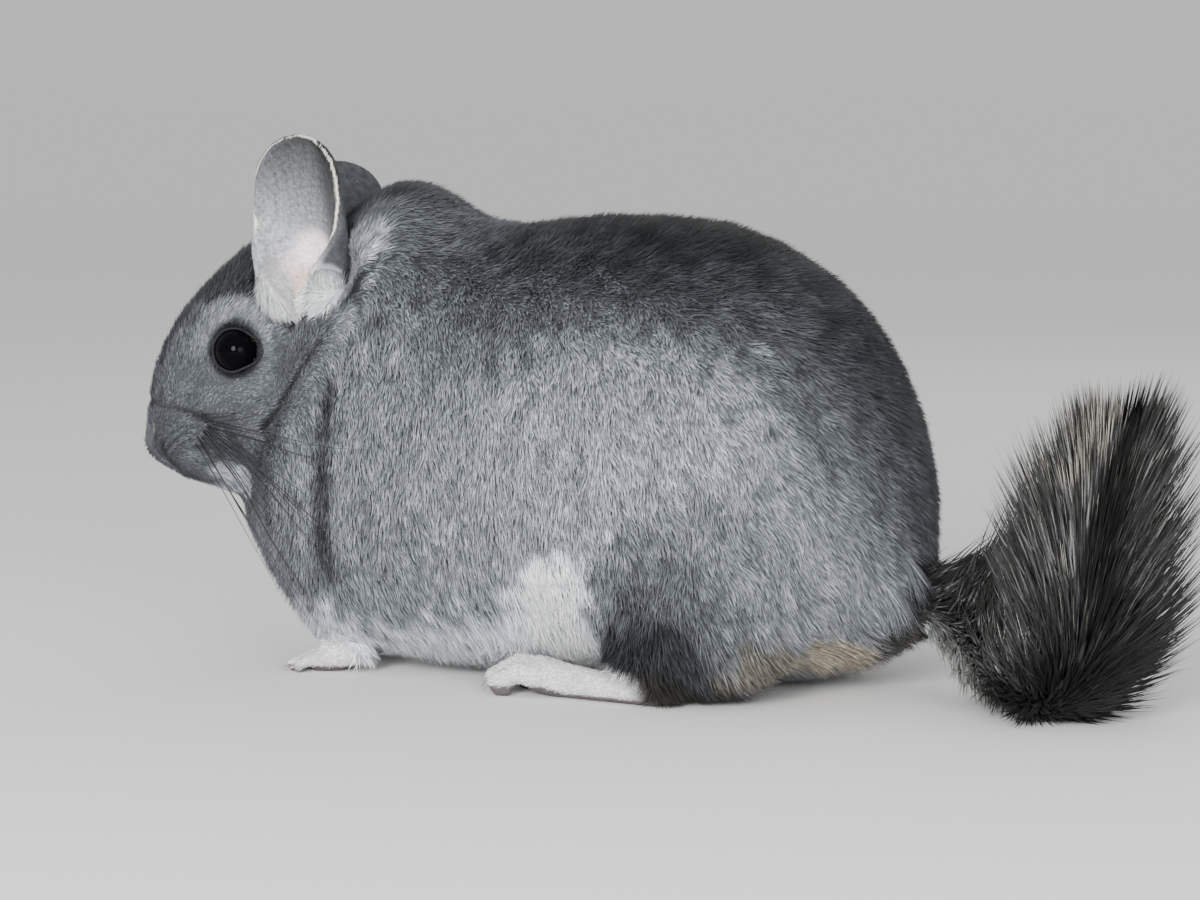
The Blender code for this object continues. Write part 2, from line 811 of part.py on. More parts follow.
def tail_nodes():
    """The short-haired root of the tail, and the brush of long hair that curls up behind it."""
    frames = tail_frames(64)
    split = int(BRUSH_STARTS * len(frames))
    root = tail_tube("tail_base", frames[: split + 1])
    end, ahead = frames[split][0], frames[split][1]
    cut_away(root, half_space(end - ahead * 0.8, ahead))
    brush = tail_tube("tail_brush", frames[split - 1 :])
    core = [ellipsoid("core", centre, radii, segments=14) for centre, radii in BRUSH_CORE]
    union_of(brush, core + brush_locks(frames[split:], random.Random(7)))
    kept_within(brush, half_space(end - ahead * (0.8 - GAP / MM), ahead), "MANIFOLD")
    return root, largest_body(brush)


def set_on_floor(obj):
    """Cuts the object flat where it rests on the floor."""
    cut_away(obj, box("floor", (-400, -400, -60), (400, 400, 0)))
    return largest_body(obj)


def centre_all(nodes):
    """Moves the whole animal so that the origin is under the middle of its box."""
    corners = [v.co for obj in nodes for v in obj.data.vertices]
    low = Vector([min(c[i] for c in corners) for i in range(3)])
    high = Vector([max(c[i] for c in corners) for i in range(3)])
    shift = Matrix.Translation((-(low.x + high.x) / 2, -(low.y + high.y) / 2, -low.z))
    for obj in nodes:
        obj.data.transform(shift)


def main():
    clear_scene()
    coat = new_material("coat_grey", GREY_COAT, 0.9)
    pale = new_material("coat_pale", PALE_FUR, 0.9)
    ear_skin = new_material("ear_skin", EAR_SKIN, 0.7)
    eye_black = new_material("eye_black", EYE_BLACK, 0.05)
    tail_dark = new_material("tail_hair", TAIL_DARK, 0.85)

    flesh = flesh_body()
    head, neck, torso, legs = parted_flesh(flesh)
    finish_head(head)
    eyes = [eyeball("eye_left", -1, EYE_RADIUS), eyeball("eye_right", 1, EYE_RADIUS)]
    ears = []
    for word, side in (("left", -1), ("right", 1)):
        ear = ear_loft("ear_" + word, side, EAR_BODY)
        for neighbour in (head, neck):
            cut_away(neighbour, grown(ear))
        ears.append(cut_away(ear, ear_loft("hollow", side, EAR_HOLLOW)))
    largest_body(head)
    largest_body(neck)
    feet = [
        hind_foot("hind_foot_left", -1),
        hind_foot("hind_foot_right", 1),
        fore_paw("forepaw_left", -1),
        fore_paw("forepaw_right", 1),
    ]
    tail_base, tail_brush = tail_nodes()

    flesh_grown = grown(flesh)
    for obj in (*feet, tail_base):
        boolean(obj, flesh_grown, "DIFFERENCE")
        largest_body(obj)
    removed(flesh_grown)
    removed(flesh)

    nodes = [head, neck, torso, *legs, *eyes, *ears, *feet, tail_base, tail_brush]
    for obj in (torso, neck, *legs, *feet, tail_base, tail_brush):
        set_on_floor(obj)
    centre_all(nodes)
    for obj in nodes:
        material = coat
        if obj in ears:
            material = ear_skin
        elif obj in eyes:
            material = eye_black
        elif obj in feet:
            material = pale
        elif obj in (tail_base, tail_brush):
            material = tail_dark
        obj.data.materials.clear()
        obj.data.materials.append(material)
        obj.data.shade_smooth()
        obj.data.set_sharp_from_angle(angle=math.radians(50))
    model = bpy.data.collections.new("chinchilla")
    bpy.context.scene.collection.children.link(model)
    for obj in nodes:
        bpy.context.scene.collection.objects.unlink(obj)
        model.objects.link(obj)


main()
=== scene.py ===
import json
import math

import bmesh
import bpy
import numpy as np
from mathutils import Matrix, Vector

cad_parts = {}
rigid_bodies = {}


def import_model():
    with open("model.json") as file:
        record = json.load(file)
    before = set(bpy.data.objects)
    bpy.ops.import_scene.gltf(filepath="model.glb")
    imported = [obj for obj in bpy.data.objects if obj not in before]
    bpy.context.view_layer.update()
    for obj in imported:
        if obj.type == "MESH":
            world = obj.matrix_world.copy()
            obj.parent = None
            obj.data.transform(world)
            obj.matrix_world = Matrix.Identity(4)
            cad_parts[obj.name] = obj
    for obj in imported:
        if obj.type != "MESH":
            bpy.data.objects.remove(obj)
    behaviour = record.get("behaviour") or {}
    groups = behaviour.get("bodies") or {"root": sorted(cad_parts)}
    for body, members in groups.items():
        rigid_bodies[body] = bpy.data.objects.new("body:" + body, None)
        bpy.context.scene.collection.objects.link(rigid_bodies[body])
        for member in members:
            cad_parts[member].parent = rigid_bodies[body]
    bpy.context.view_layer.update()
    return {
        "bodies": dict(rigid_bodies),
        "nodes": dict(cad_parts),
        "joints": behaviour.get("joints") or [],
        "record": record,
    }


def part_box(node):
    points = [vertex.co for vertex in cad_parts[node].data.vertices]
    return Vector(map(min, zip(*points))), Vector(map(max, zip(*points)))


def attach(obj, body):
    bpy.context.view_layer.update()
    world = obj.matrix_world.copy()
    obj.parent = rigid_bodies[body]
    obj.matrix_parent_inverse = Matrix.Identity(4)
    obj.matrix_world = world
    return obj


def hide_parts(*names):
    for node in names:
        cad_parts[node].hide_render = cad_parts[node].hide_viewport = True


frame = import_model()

# The places of this script are millimetres of the animal's own drawing, which lies where the packed
# solids are: the left eye of the drawing falls on the left eye of the pack. The camera looks at the
# animal's left side from a little behind, close to the floor, as the picture does.
MM = 0.001
HEAD_PIVOT, HEAD_YAW, HEAD_ROLL = (-58, 0, 93), 8.0, -4.0
EYE_CENTRE = (-85.7, -20.4, 90.8)
CAMERA_TARGET = (17.7, 0, 64.2)
CAMERA_AZIMUTH, CAMERA_ELEVATION = math.radians(15), math.radians(5)
CAMERA_DISTANCE, CAMERA_FIELD = 879.7, math.radians(22)


def head_turn():
    """How the head is turned and tilted about the neck, in millimetres of the drawing."""
    pivot = Matrix.Translation(HEAD_PIVOT)
    yaw = Matrix.Rotation(math.radians(HEAD_YAW), 4, "Z")
    roll = Matrix.Rotation(math.radians(HEAD_ROLL), 4, "X")
    return pivot @ yaw @ roll @ pivot.inverted()


def middle_of(node):
    low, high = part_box(node)
    return (low + high) / 2


OFFSET = middle_of("eye_left") / MM - head_turn() @ Vector(EYE_CENTRE)
OFFSET.z = 0.0


def placed(point):
    """A point of the drawing as a place in the frame, in metres."""
    return (Vector(point) + OFFSET) * MM


def add_camera():
    toward = Vector((
        math.sin(CAMERA_AZIMUTH) * math.cos(CAMERA_ELEVATION),
        -math.cos(CAMERA_AZIMUTH) * math.cos(CAMERA_ELEVATION),
        math.sin(CAMERA_ELEVATION),
    ))
    lens = bpy.data.cameras.new("camera")
    lens.sensor_fit = "HORIZONTAL"
    lens.angle = CAMERA_FIELD
    lens.clip_start, lens.clip_end = 0.02, 60
    camera = bpy.data.objects.new("camera", lens)
    bpy.context.scene.collection.objects.link(camera)
    camera.location = placed(Vector(CAMERA_TARGET) + toward * CAMERA_DISTANCE)
    camera.rotation_euler = toward.to_track_quat("Z", "Y").to_euler()
    bpy.context.scene.camera = camera


add_camera()

# The floor is a plain pale sheet of matt board. A large soft box stands to the left of the camera, a
# weaker one to its right, a weak one behind draws the edge of the coat, and a tiny lamp by the lens
# glints in the eyes. The pale room is a little brighter overhead than where the floor runs into it.
FLOOR_SIZE = 24.0
FLOOR_COLOUR = (0.80, 0.795, 0.785, 1)
HORIZON, OVERHEAD, ROOM_RISE = (0.634, 0.637, 0.637, 1), (0.80, 0.80, 0.81, 1), (0.02, 0.7)
LIGHTS = (
    # name, place in metres, size, watts
    ("key", (-0.1, -1.5, 0.50), 0.6, 36.5),
    ("fill", (0.85, -1.2, 0.34), 0.8, 11.0),
    ("rim", (0.35, 1.3, 1.05), 0.9, 2.5),
    ("spark", (0.56, -0.98, 0.30), 0.017, 1.9),
)


def deselect():
    bpy.ops.object.select_all(action="DESELECT")


def new_material(name, sockets):
    """A material whose shader has these socket values."""
    made = bpy.data.materials.new(name)
    made.use_nodes = True
    shader = made.node_tree.nodes["Principled BSDF"]
    for key, value in sockets.items():
        shader.inputs[key].default_value = value
    return made


def node_of(tree, kind, inputs=None, **settings):
    """A new shader node with these settings and socket values."""
    made = tree.nodes.new(kind)
    for key, value in settings.items():
        setattr(made, key, value)
    for key, value in (inputs or {}).items():
        made.inputs[key].default_value = value
    return made


def linked(tree, *pairs):
    for output, target in pairs:
        tree.links.new(output, target)


def add_floor():
    deselect()
    bpy.ops.mesh.primitive_plane_add(size=FLOOR_SIZE)
    floor = bpy.context.object
    floor.name = "floor"
    floor.data.materials.append(new_material("pale_board", {"Base Color": FLOOR_COLOUR, "Roughness": 0.9}))


def add_light(name, place, size, watts):
    lamp = bpy.data.lights.new(name, "AREA")
    lamp.shape = "DISK"
    lamp.size = size
    lamp.energy = watts
    light = bpy.data.objects.new(name, lamp)
    bpy.context.scene.collection.objects.link(light)
    light.location = place
    light.rotation_euler = Vector(place).to_track_quat("Z", "Y").to_euler()


def add_room():
    room = bpy.data.worlds.new("room")
    room.use_nodes = True
    tree = room.node_tree
    way, height = node_of(tree, "ShaderNodeTexCoord"), node_of(tree, "ShaderNodeSeparateXYZ")
    rise = node_of(tree, "ShaderNodeMapRange", {"From Min": ROOM_RISE[0], "From Max": ROOM_RISE[1]})
    tone = node_of(tree, "ShaderNodeMix", {"A": HORIZON, "B": OVERHEAD}, data_type="RGBA")
    linked(
        tree,
        (way.outputs["Generated"], height.inputs["Vector"]),
        (height.outputs["Z"], rise.inputs["Value"]),
        (rise.outputs["Result"], tone.inputs["Factor"]),
        (tone.outputs["Result"], tree.nodes["Background"].inputs["Color"]),
    )
    bpy.context.scene.world = room


add_floor()
for light_values in LIGHTS:
    add_light(*light_values)
add_room()

# The skin is one closed sheet over the whole animal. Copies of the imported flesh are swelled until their
# thin gaps close, fused, sunk by the depth of the coat that stands on them, and joined to finely
# modelled feet.
FLESH_NODES = (
    "head", "neck", "torso", "tail_base",
    "foreleg_left", "foreleg_right", "hind_leg_left", "hind_leg_right",
)
FOOT_NODES = ("hind_foot_left", "hind_foot_right", "forepaw_left", "forepaw_right")
SWELL = 0.24
FLESH_VOXEL, FLESH_ROUNDS, BODY_ROUNDS, NORMAL_ROUNDS = 1.1, 5, 40, 8
SKIN_VOXEL, SKIN_ROUNDS, SKIN_TRIANGLES = 0.75, 3, 118000
THIN_LEVELS, KEPT_SHARE = 10, 0.93
BODY_DEPTH, HEAD_DEPTH, FACE_DEPTH = 2.8, 0.85, 0.45
NECK_POINT, NECK_AHEAD = (-60, -4, 81), (-0.88, -0.12, 0.46)
HIND_HEEL, FORE_WRIST = (47, -50, -0.3), (-54, -14.5, -0.7)
HIND_TURN, FORE_TURN = -16.0, 4.0
TAIL_AXIS = (
    (98, -3, 26, 10.5),
    (110, -7, 23.5, 10),
    (122, -14, 19.5, 9),
    (134, -24, 14, 8.2),
    (145, -36, 9.5, 8.4),
    (153.5, -45, 8.8, 8.6),
    (158, -49.5, 15, 7.8),
    (160, -50.5, 29, 6.4),
    (162, -49.5, 43, 5.2),
    (165, -47.5, 56, 3.8),
    (167, -46, 64, 2.2),
)
TAIL_RINGS, TAIL_SIDES, TAIL_HAIR_DEPTH, TAIL_RISE = 60, 20, 2.6, 2.5


def mesh_object(name, coordinates, faces):
    """A mesh object from places in millimetres of the drawing."""
    mesh = bpy.data.meshes.new(name)
    places = (np.asarray(coordinates, float) + np.array(OFFSET)) * MM
    mesh.from_pydata(places.tolist(), [], faces)
    obj = bpy.data.objects.new(name, mesh)
    bpy.context.scene.collection.objects.link(obj)
    return obj


def with_modifier(obj, kind, **values):
    """Adds a modifier with these values and applies it."""
    deselect()
    obj.select_set(True)
    bpy.context.view_layer.objects.active = obj
    modifier = obj.modifiers.new(kind.lower(), kind)
    for key, value in values.items():
        setattr(modifier, key, value)
    bpy.ops.object.modifier_apply(modifier=modifier.name)
    return obj


def outward(obj):
    """Merges doubles and turns all faces out."""
    bm = bmesh.new()
    bm.from_mesh(obj.data)
    bmesh.ops.remove_doubles(bm, verts=bm.verts, dist=1e-6)
    bmesh.ops.recalc_face_normals(bm, faces=bm.faces)
    if bm.calc_volume(signed=True) < 0:
        bmesh.ops.reverse_faces(bm, faces=bm.faces)
    bm.to_mesh(obj.data)
    bm.free()
    return obj


def ring_points(centre, across, up, wide, high, count):
    turns = np.linspace(0, 2 * math.pi, count, endpoint=False)
    centre, across, up = (np.array(v, float) for v in (centre, across, up))
    return [centre + across * (wide * math.cos(t)) + up * (high * math.sin(t)) for t in turns]


def lofted(name, rings):
    """A closed form over rings of points, with a pole at each end."""
    count = len(rings[0])
    points = [p for ring in rings for p in ring]
    faces = []
    for k in range(len(rings) - 1):
        for i in range(count):
            j = (i + 1) % count
            faces.append((k * count + i, k * count + j, (k + 1) * count + j, (k + 1) * count + i))
    for first, ring in ((0, rings[0]), ((len(rings) - 1) * count, rings[-1])):
        pole = len(points)
        points.append(np.mean(np.array(ring, float), axis=0))
        for i in range(count):
            faces.append((first + i, first + (i + 1) % count, pole))
    return outward(mesh_object(name, points, faces))


LIMB_SIDES, LIMB_STEPS = 24, 7


def capsule(name, start, end, start_radius, end_radius, flatten=1.0):
    """A round-ended limb between two places."""
    start, end = Vector(start), Vector(end)
    axis = (end - start).normalized()
    across = axis.cross(Vector((0, 0, 1))).normalized()
    up = across.cross(axis)
    rings = []
    for k in range(1, LIMB_STEPS + 1):
        a = math.pi / 2 * k / LIMB_STEPS
        centre, radius = start - axis * start_radius * math.cos(a), start_radius * math.sin(a)
        rings.append(ring_points(centre, across, up, radius, radius * flatten, LIMB_SIDES))
    for k in range(LIMB_STEPS, 0, -1):
        a = math.pi / 2 * k / LIMB_STEPS
        centre, radius = end + axis * end_radius * math.cos(a), end_radius * math.sin(a)
        rings.append(ring_points(centre, across, up, radius, radius * flatten, LIMB_SIDES))
    return lofted(name, rings)


def toe(root, tip, thick):
    """One toe: it rises over its knuckle, comes down to its tip and rests on a round pad."""
    root, tip = Vector(root), Vector(tip)
    knuckle = root.lerp(tip, 0.45) + Vector((0, 0, thick * 0.6))
    back = (root - tip).normalized() * thick
    pad = Vector((tip.x, tip.y, thick * 0.6)) + back * 0.2
    pad_end = Vector((pad.x + back.x * 0.7, pad.y + back.y * 0.7, pad.z))
    return [
        capsule("toe", root, knuckle, thick * 1.05, thick * 0.95),
        capsule("toe", knuckle, tip, thick * 0.95, thick * 0.8),
        capsule("pad", pad, pad_end, thick * 0.66, thick * 0.66),
    ]


HIND_TOES = (
    # root, tip and thickness in the foot's own frame, toes to -X, outer side first
    ((-35.5, 4.4, 6.0), (-46.5, 7.6, 3.8), 3.1),
    ((-37, 0, 7.2), (-51.5, 0.6, 4.2), 3.4),
    ((-35.5, -4.6, 6.0), (-47.5, -7.4, 3.8), 3.1),
    ((-28, -5.6, 3.8), (-34, -8.8, 2.6), 1.9),
)
FINGERS = (
    ((-7, -3.4, 4.0), (-13.0, -6.0, 2.2), 1.65),
    ((-7, -1.2, 4.4), (-15.8, -2.2, 2.3), 1.75),
    ((-7, 1.2, 4.4), (-15.8, 2.2, 2.3), 1.75),
    ((-7, 3.4, 4.0), (-13.2, 6.0, 2.2), 1.65),
    ((-3, -4.2, 3.0), (-6, -6.2, 1.8), 1.4),
)


def foot_place(at, turn, side):
    """Where a foot's own frame lies in the drawing. turn points its toes out."""
    spin = Matrix.Rotation(math.radians(-side * turn), 4, "Z")
    return Matrix.Translation((at[0], abs(at[1]) * side, at[2])) @ spin


def mirrored_side(point, side):
    return Vector((point[0], point[1] * side, point[2]))


def moved(pieces, place):
    """Carries pieces made in a part's own frame to their place in the drawing."""
    to_frame = Matrix.Scale(MM, 4) @ Matrix.Translation(OFFSET)
    for piece in pieces:
        piece.data.transform(to_frame @ place @ to_frame.inverted())
    return pieces


def hind_foot_forms(side):
    pieces = [
        capsule("sole", (0, 0, 3.5), (-31, 0, 4.0), 4.2, 4.6, 0.84),
        capsule("arch", (-12, side * 0.6, 4.6), (-30, -side * 0.5, 5.6), 3.2, 4.0),
        capsule("ball", (-31, 0, 5.0), (-36.5, 0, 5.8), 5.8, 6.0, 0.85),
    ]
    for root, tip, thick in HIND_TOES:
        pieces += toe(mirrored_side(root, side), mirrored_side(tip, side), thick)
    return moved(pieces, foot_place(HIND_HEEL, HIND_TURN, side))


def forepaw_forms(side):
    pieces = [
        capsule("wrist", (3, 0, 7), (-4, 0, 4.6), 4.6, 4.4),
        capsule("palm", (-5, 0, 3.8), (-7.5, 0, 3.8), 4.6, 4.6, 0.8),
    ]
    for root, tip, thick in FINGERS:
        pieces += toe(mirrored_side(root, side), mirrored_side(tip, side), thick)
    return moved(pieces, foot_place(FORE_WRIST, FORE_TURN, side))


def between(stations, count):
    """The stations read as smooth curves at evenly spaced steps along their length."""
    rows = np.array(stations, float)
    steps = np.linalg.norm(np.diff(rows, axis=0), axis=1)
    along = np.concatenate([[0], np.cumsum(steps)])
    slopes = np.gradient(rows, along, axis=0)
    at = np.linspace(0, along[-1], count)
    k = np.clip(np.searchsorted(along, at, side="right") - 1, 0, len(along) - 2)
    span = (along[k + 1] - along[k])[:, None]
    t = ((at - along[k]) / span[:, 0])[:, None]
    return (
        (2 * t**3 - 3 * t**2 + 1) * rows[k]
        + (t**3 - 2 * t**2 + t) * span * slopes[k]
        + (3 * t**2 - 2 * t**3) * rows[k + 1]
        + (t**3 - t**2) * span * slopes[k + 1]
    )


def tail_frames(count):
    """Down the tail's axis: places, directions, two directions across, and radii, as arrays."""
    rows = between(TAIL_AXIS, count)
    centres, radii = rows[:, :3], rows[:, 3]
    ahead = np.gradient(centres, axis=0)
    ahead /= np.linalg.norm(ahead, axis=1)[:, None]
    across, up = np.zeros_like(ahead), np.zeros_like(ahead)
    last = np.array((0, 0, 1.0))
    for i in range(count):
        side = np.cross(last, ahead[i])
        across[i] = side / np.linalg.norm(side)
        last = np.cross(ahead[i], across[i])
        up[i] = last
    return centres, ahead, across, up, radii


def tail_flesh():
    """The tail's own flesh, all the way to its tip, thinner than its hair."""
    centres, _, across, up, radii = tail_frames(TAIL_RINGS)
    shrink = np.clip(radii - TAIL_HAIR_DEPTH, 1.0, None)
    rise = np.clip(TAIL_RISE - (centres[:, 2] - shrink), 0, None)[:, None]
    places = zip(centres + np.array((0, 0, 1)) * rise, across, up, shrink)
    return lofted("tail_flesh", [ring_points(*ways, r, r, TAIL_SIDES) for *ways, r in places])


def packed_copy(node):
    """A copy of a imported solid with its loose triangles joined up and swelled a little."""
    obj = bpy.data.objects.new(node + "_copy", frame["nodes"][node].data.copy())
    bpy.context.scene.collection.objects.link(obj)
    bm = bmesh.new()
    bm.from_mesh(obj.data)
    bmesh.ops.remove_doubles(bm, verts=bm.verts, dist=2e-6)
    bm.to_mesh(obj.data)
    bm.free()
    return with_modifier(obj, "DISPLACE", strength=SWELL * MM, mid_level=0.0)


def joined(name, pieces):
    deselect()
    for piece in pieces:
        piece.select_set(True)
    bpy.context.view_layer.objects.active = pieces[0]
    bpy.ops.object.join()
    pieces[0].name = name
    return pieces[0]


def coordinates(obj):
    """The vertices in millimetres of the drawing, as an array."""
    flat = np.empty(len(obj.data.vertices) * 3, np.float32)
    obj.data.vertices.foreach_get("co", flat)
    return flat.reshape(-1, 3).astype(float) / MM - np.array(OFFSET)


def set_coordinates(obj, points):
    flat = ((points + np.array(OFFSET)) * MM).astype(np.float32).ravel()
    obj.data.vertices.foreach_set("co", flat)
    obj.data.update()


def vertex_normals(obj):
    flat = np.empty(len(obj.data.vertices) * 3, np.float32)
    obj.data.vertex_normals.foreach_get("vector", flat)
    return flat.reshape(-1, 3).astype(float)


def edge_array(obj):
    flat = np.empty(len(obj.data.edges) * 2, np.int32)
    obj.data.edges.foreach_get("vertices", flat)
    return flat.reshape(-1, 2)


NEIGHBOUR_PULL = 0.6


def averaged(values, edges, rounds):
    """Values on the vertices, each drawn towards the mean of its neighbours, some rounds over."""
    count = len(values)
    degree = np.bincount(edges.ravel(), minlength=count)[:, None].clip(1)
    for _ in range(rounds):
        total = np.stack([
            np.bincount(edges[:, 0], values[edges[:, 1], c], count)
            + np.bincount(edges[:, 1], values[edges[:, 0], c], count)
            for c in range(values.shape[1])
        ], axis=1)
        values = values + (total / degree - values) * NEIGHBOUR_PULL
    return values


def smooth_step(low, high, values):
    t = np.clip((np.asarray(values, float) - low) / (high - low), 0, 1)
    return t * t * (3 - 2 * t)


def head_share(points):
    """0 on the body and 1 on the head."""
    ahead = np.array(NECK_AHEAD) / np.linalg.norm(NECK_AHEAD)
    return smooth_step(-8, 8, (points - np.array(NECK_POINT)) @ ahead)


def in_head_frame(points):
    """Places before the head turned, so that both of its sides are alike."""
    back = np.array(head_turn().inverted())
    return points @ back[:3, :3].T + back[:3, 3]


def eye_distance(points):
    """How far each place is from the nearer eye's middle."""
    still = in_head_frame(points)
    still[:, 1] = -np.abs(still[:, 1])
    return np.linalg.norm(still - np.array(EYE_CENTRE), axis=1)


NOSE_TIP = (-117.3, 0, 61.4)


def nose_distance(points):
    return np.linalg.norm(in_head_frame(points) - np.array(NOSE_TIP), axis=1)


def near_line(points, line):
    """The distance from each place to a line through some places."""
    best = np.full(len(points), 1e9)
    for start, end in zip(line, line[1:]):
        start, end = np.array(start, float), np.array(end, float)
        step = end - start
        share = np.clip((points - start) @ step / (step @ step), 0, 1)[:, None]
        best = np.minimum(best, np.linalg.norm(points - start - share * step, axis=1))
    return best


def both_sides(points):
    """Places of the right side carried over to the left."""
    return points * np.where(points[:, 1:2] > 0, np.array((1, -1, 1.0)), 1.0)


HIND_LINE, TOE_LINE = ((40, -48, 3), (-8, -34, 3)), ((10, -39, 4), (-4, -36, 4))
FORE_LINE = ((-56, -14.5, 3), (-72, -15, 2))


def foot_share(points):
    """1 on the four feet and 0 elsewhere."""
    left = both_sides(points)
    hind, toes, fore = (near_line(left, line) for line in (HIND_LINE, TOE_LINE, FORE_LINE))
    near = np.maximum(1 - smooth_step(7.5, 10.5, hind), 1 - smooth_step(6.5, 9, fore))
    return np.maximum(near, 1 - smooth_step(10.5, 12.5, toes))


def tail_share(points):
    """1 on the tail and 0 on the rump."""
    line = [station[:3] for station in TAIL_AXIS[1:]]
    return (1 - smooth_step(15, 19, near_line(points, line))) * smooth_step(101, 109, points[:, 0])


def coat_depth(points):
    """How far the coat stands over the skin: deep on the body, thin on the face, least on lids
    and nose, and next to nothing on the feet."""
    head = head_share(points)
    depth = BODY_DEPTH + (HEAD_DEPTH - BODY_DEPTH) * head
    face = 1 - smooth_step(6, 26, nose_distance(points))
    eyes = 1 - smooth_step(8, 15, eye_distance(points))
    depth += (FACE_DEPTH - depth) * np.maximum(face, eyes)
    low = 1 - smooth_step(6, 22, points[:, 2])
    paws = np.maximum(
        1 - smooth_step(6, 12, np.abs(points[:, 0] + 61)),
        1 - smooth_step(26, 34, np.abs(points[:, 0] - 20)),
    )
    return depth * (1 - 0.75 * low * paws)


EAR_FLESH, EAR_FLESH_RADIUS = (3.2, 15.2, 0.9), 8.0


def new_ball(radius, segments, rings):
    """A ball and its vertices, about the origin and in the units of its radius."""
    deselect()
    bpy.ops.mesh.primitive_uv_sphere_add(segments=segments, ring_count=rings, radius=radius)
    ball = bpy.context.object
    return ball, np.array([tuple(v.co) for v in ball.data.vertices])


def ear_flesh(side):
    """The flesh around the foot of an ear, where the solid head is open for it."""
    flesh, points = new_ball(1, 32, 20)
    along, across, up = EAR_FLESH
    set_coordinates(flesh, points * EAR_FLESH_RADIUS + np.array(head_place(along, side * across, up)))
    return flesh


def make_skin():
    pieces = [packed_copy(node) for node in FLESH_NODES]
    pieces += [tail_flesh(), ear_flesh(-1), ear_flesh(1)]
    skin = joined("skin", pieces)
    with_modifier(skin, "REMESH", mode="VOXEL", voxel_size=FLESH_VOXEL * MM)
    points, edges = coordinates(skin), edge_array(skin)
    points = averaged(points, edges, FLESH_ROUNDS)
    softer = averaged(points, edges, BODY_ROUNDS)
    points += (softer - points) * (1 - head_share(points))[:, None]
    set_coordinates(skin, points)
    normals = averaged(vertex_normals(skin), edges, NORMAL_ROUNDS)
    normals /= np.linalg.norm(normals, axis=1)[:, None]
    set_coordinates(skin, averaged(points - normals * coat_depth(points)[:, None], edges, 2))
    feet = []
    for side in (-1, 1):
        feet += hind_foot_forms(side) + forepaw_forms(side)
    skin = joined("skin", [skin, *feet])
    with_modifier(skin, "REMESH", mode="VOXEL", voxel_size=SKIN_VOXEL * MM)
    points, edges = coordinates(skin), edge_array(skin)
    set_coordinates(skin, averaged(points, edges, SKIN_ROUNDS))
    points = coordinates(skin)
    keep = np.maximum(head_share(points), 1 - smooth_step(9, 14, points[:, 2]))
    group = skin.vertex_groups.new(name="thin")
    for level in range(1, THIN_LEVELS + 1):
        near = np.nonzero(np.ceil((1 - KEPT_SHARE * keep) * THIN_LEVELS) == level)[0]
        group.add(near.tolist(), level / THIN_LEVELS, "REPLACE")
    faces = sum(len(p.vertices) - 2 for p in skin.data.polygons)
    with_modifier(
        skin, "DECIMATE", ratio=min(1.0, SKIN_TRIANGLES / faces), vertex_group="thin",
        use_collapse_triangulate=True,
    )
    skin.vertex_groups.clear()
    return skin


HEAD_ORIGIN, HEAD_PITCH = (-70.4, 0, 98), math.radians(40)
MOUTH = ((55.5, 0, -10.5), (54.6, 4, -11.2), (52.8, 6, -13.8), (50.2, 7.4, -17), (47.2, 8.6, -18.4))
NOSTRIL = ((54.8, 8.3, 2.8), (55.4, 8.5, 0.7), (55.2, 9.7, -1.4))
NOSE_CREASE = (
    (50, 0, 14.5), (48.6, 4.5, 11.8), (46.5, 8.4, 8.9), (42.7, 12.7, 4.7), (39.5, 15.6, 0.5), (36.9, 17, -3.8)
)
FACE_LINES = (
    # places along, across and up the head, half width, depth
    (((60.4, 0, 1.4), (60, 0, -3), (58.4, 0, -7.6)), 0.55, 1.0),
    (MOUTH, 0.7, 1.1),
    (NOSTRIL, 0.8, 1.3),
    (NOSE_CREASE[1:], 2.0, 1.15),
    (NOSE_CREASE[:2], 2.0, 0.3),
    (((47, 17.2, -4), (43, 19.3, -8), (37, 20.5, -13)), 2.2, 0.5),
    (((58, 0, 5), (59, 0, -5), (57, 0, -10), (53, 0, -16), (47, 0, -21)), 7.0, 1.6),
    (((56, 6, 6), (58, 6.5, 0), (57.5, 7, -6)), 5.0, 2.6),
    (((56.5, 6.5, -10), (53, 4, -15)), 5.0, 0.8),
    (((58.8, 0, 2.2), (59.5, 0, -4), (57, 0, -10)), 5.0, 2.8),
)
SHOULDER_FOLD = (
    (-50, -38.5, 84), (-51.8, -39.6, 71.6), (-51.9, -40.5, 57.7), (-52.1, -39.4, 43.5), (-51.5, -37.5, 33)
)
NECK_FOLD = (
    (-37.9, -33.4, 120.2), (-44.4, -36.4, 107.8), (-56.7, -35.4, 90.8), (-65.6, -31.9, 79.1),
    (-73.6, -29, 70.3),
)
BODY_FOLDS = ((SHOULDER_FOLD, 2.6, 2.0), (NECK_FOLD, 1.6, 1.6))
TOE_GAP_HALF, TOE_GAP_DEPTH = 1.1, 1.0
EAR_SEAT, EAR_SEAT_SIZE, EAR_SEAT_DEPTH, EAR_SEAT_EDGE = (-50.5, -34, 114.9), (9, 13, 10.8), 7.5, 0.72
FACE_REACH, LOWEST = 17, 0.02


def still_place(along, across, up):
    """A place given along, across and up the head, before the head turned."""
    c, s = math.cos(HEAD_PITCH), math.sin(HEAD_PITCH)
    ahead, rise = Vector((-c, 0, -s)), Vector((-s, 0, c))
    return Vector(HEAD_ORIGIN) + ahead * along + rise * up + Vector((0, across, 0))


def head_place(along, across, up):
    return head_turn() @ still_place(along, across, up)


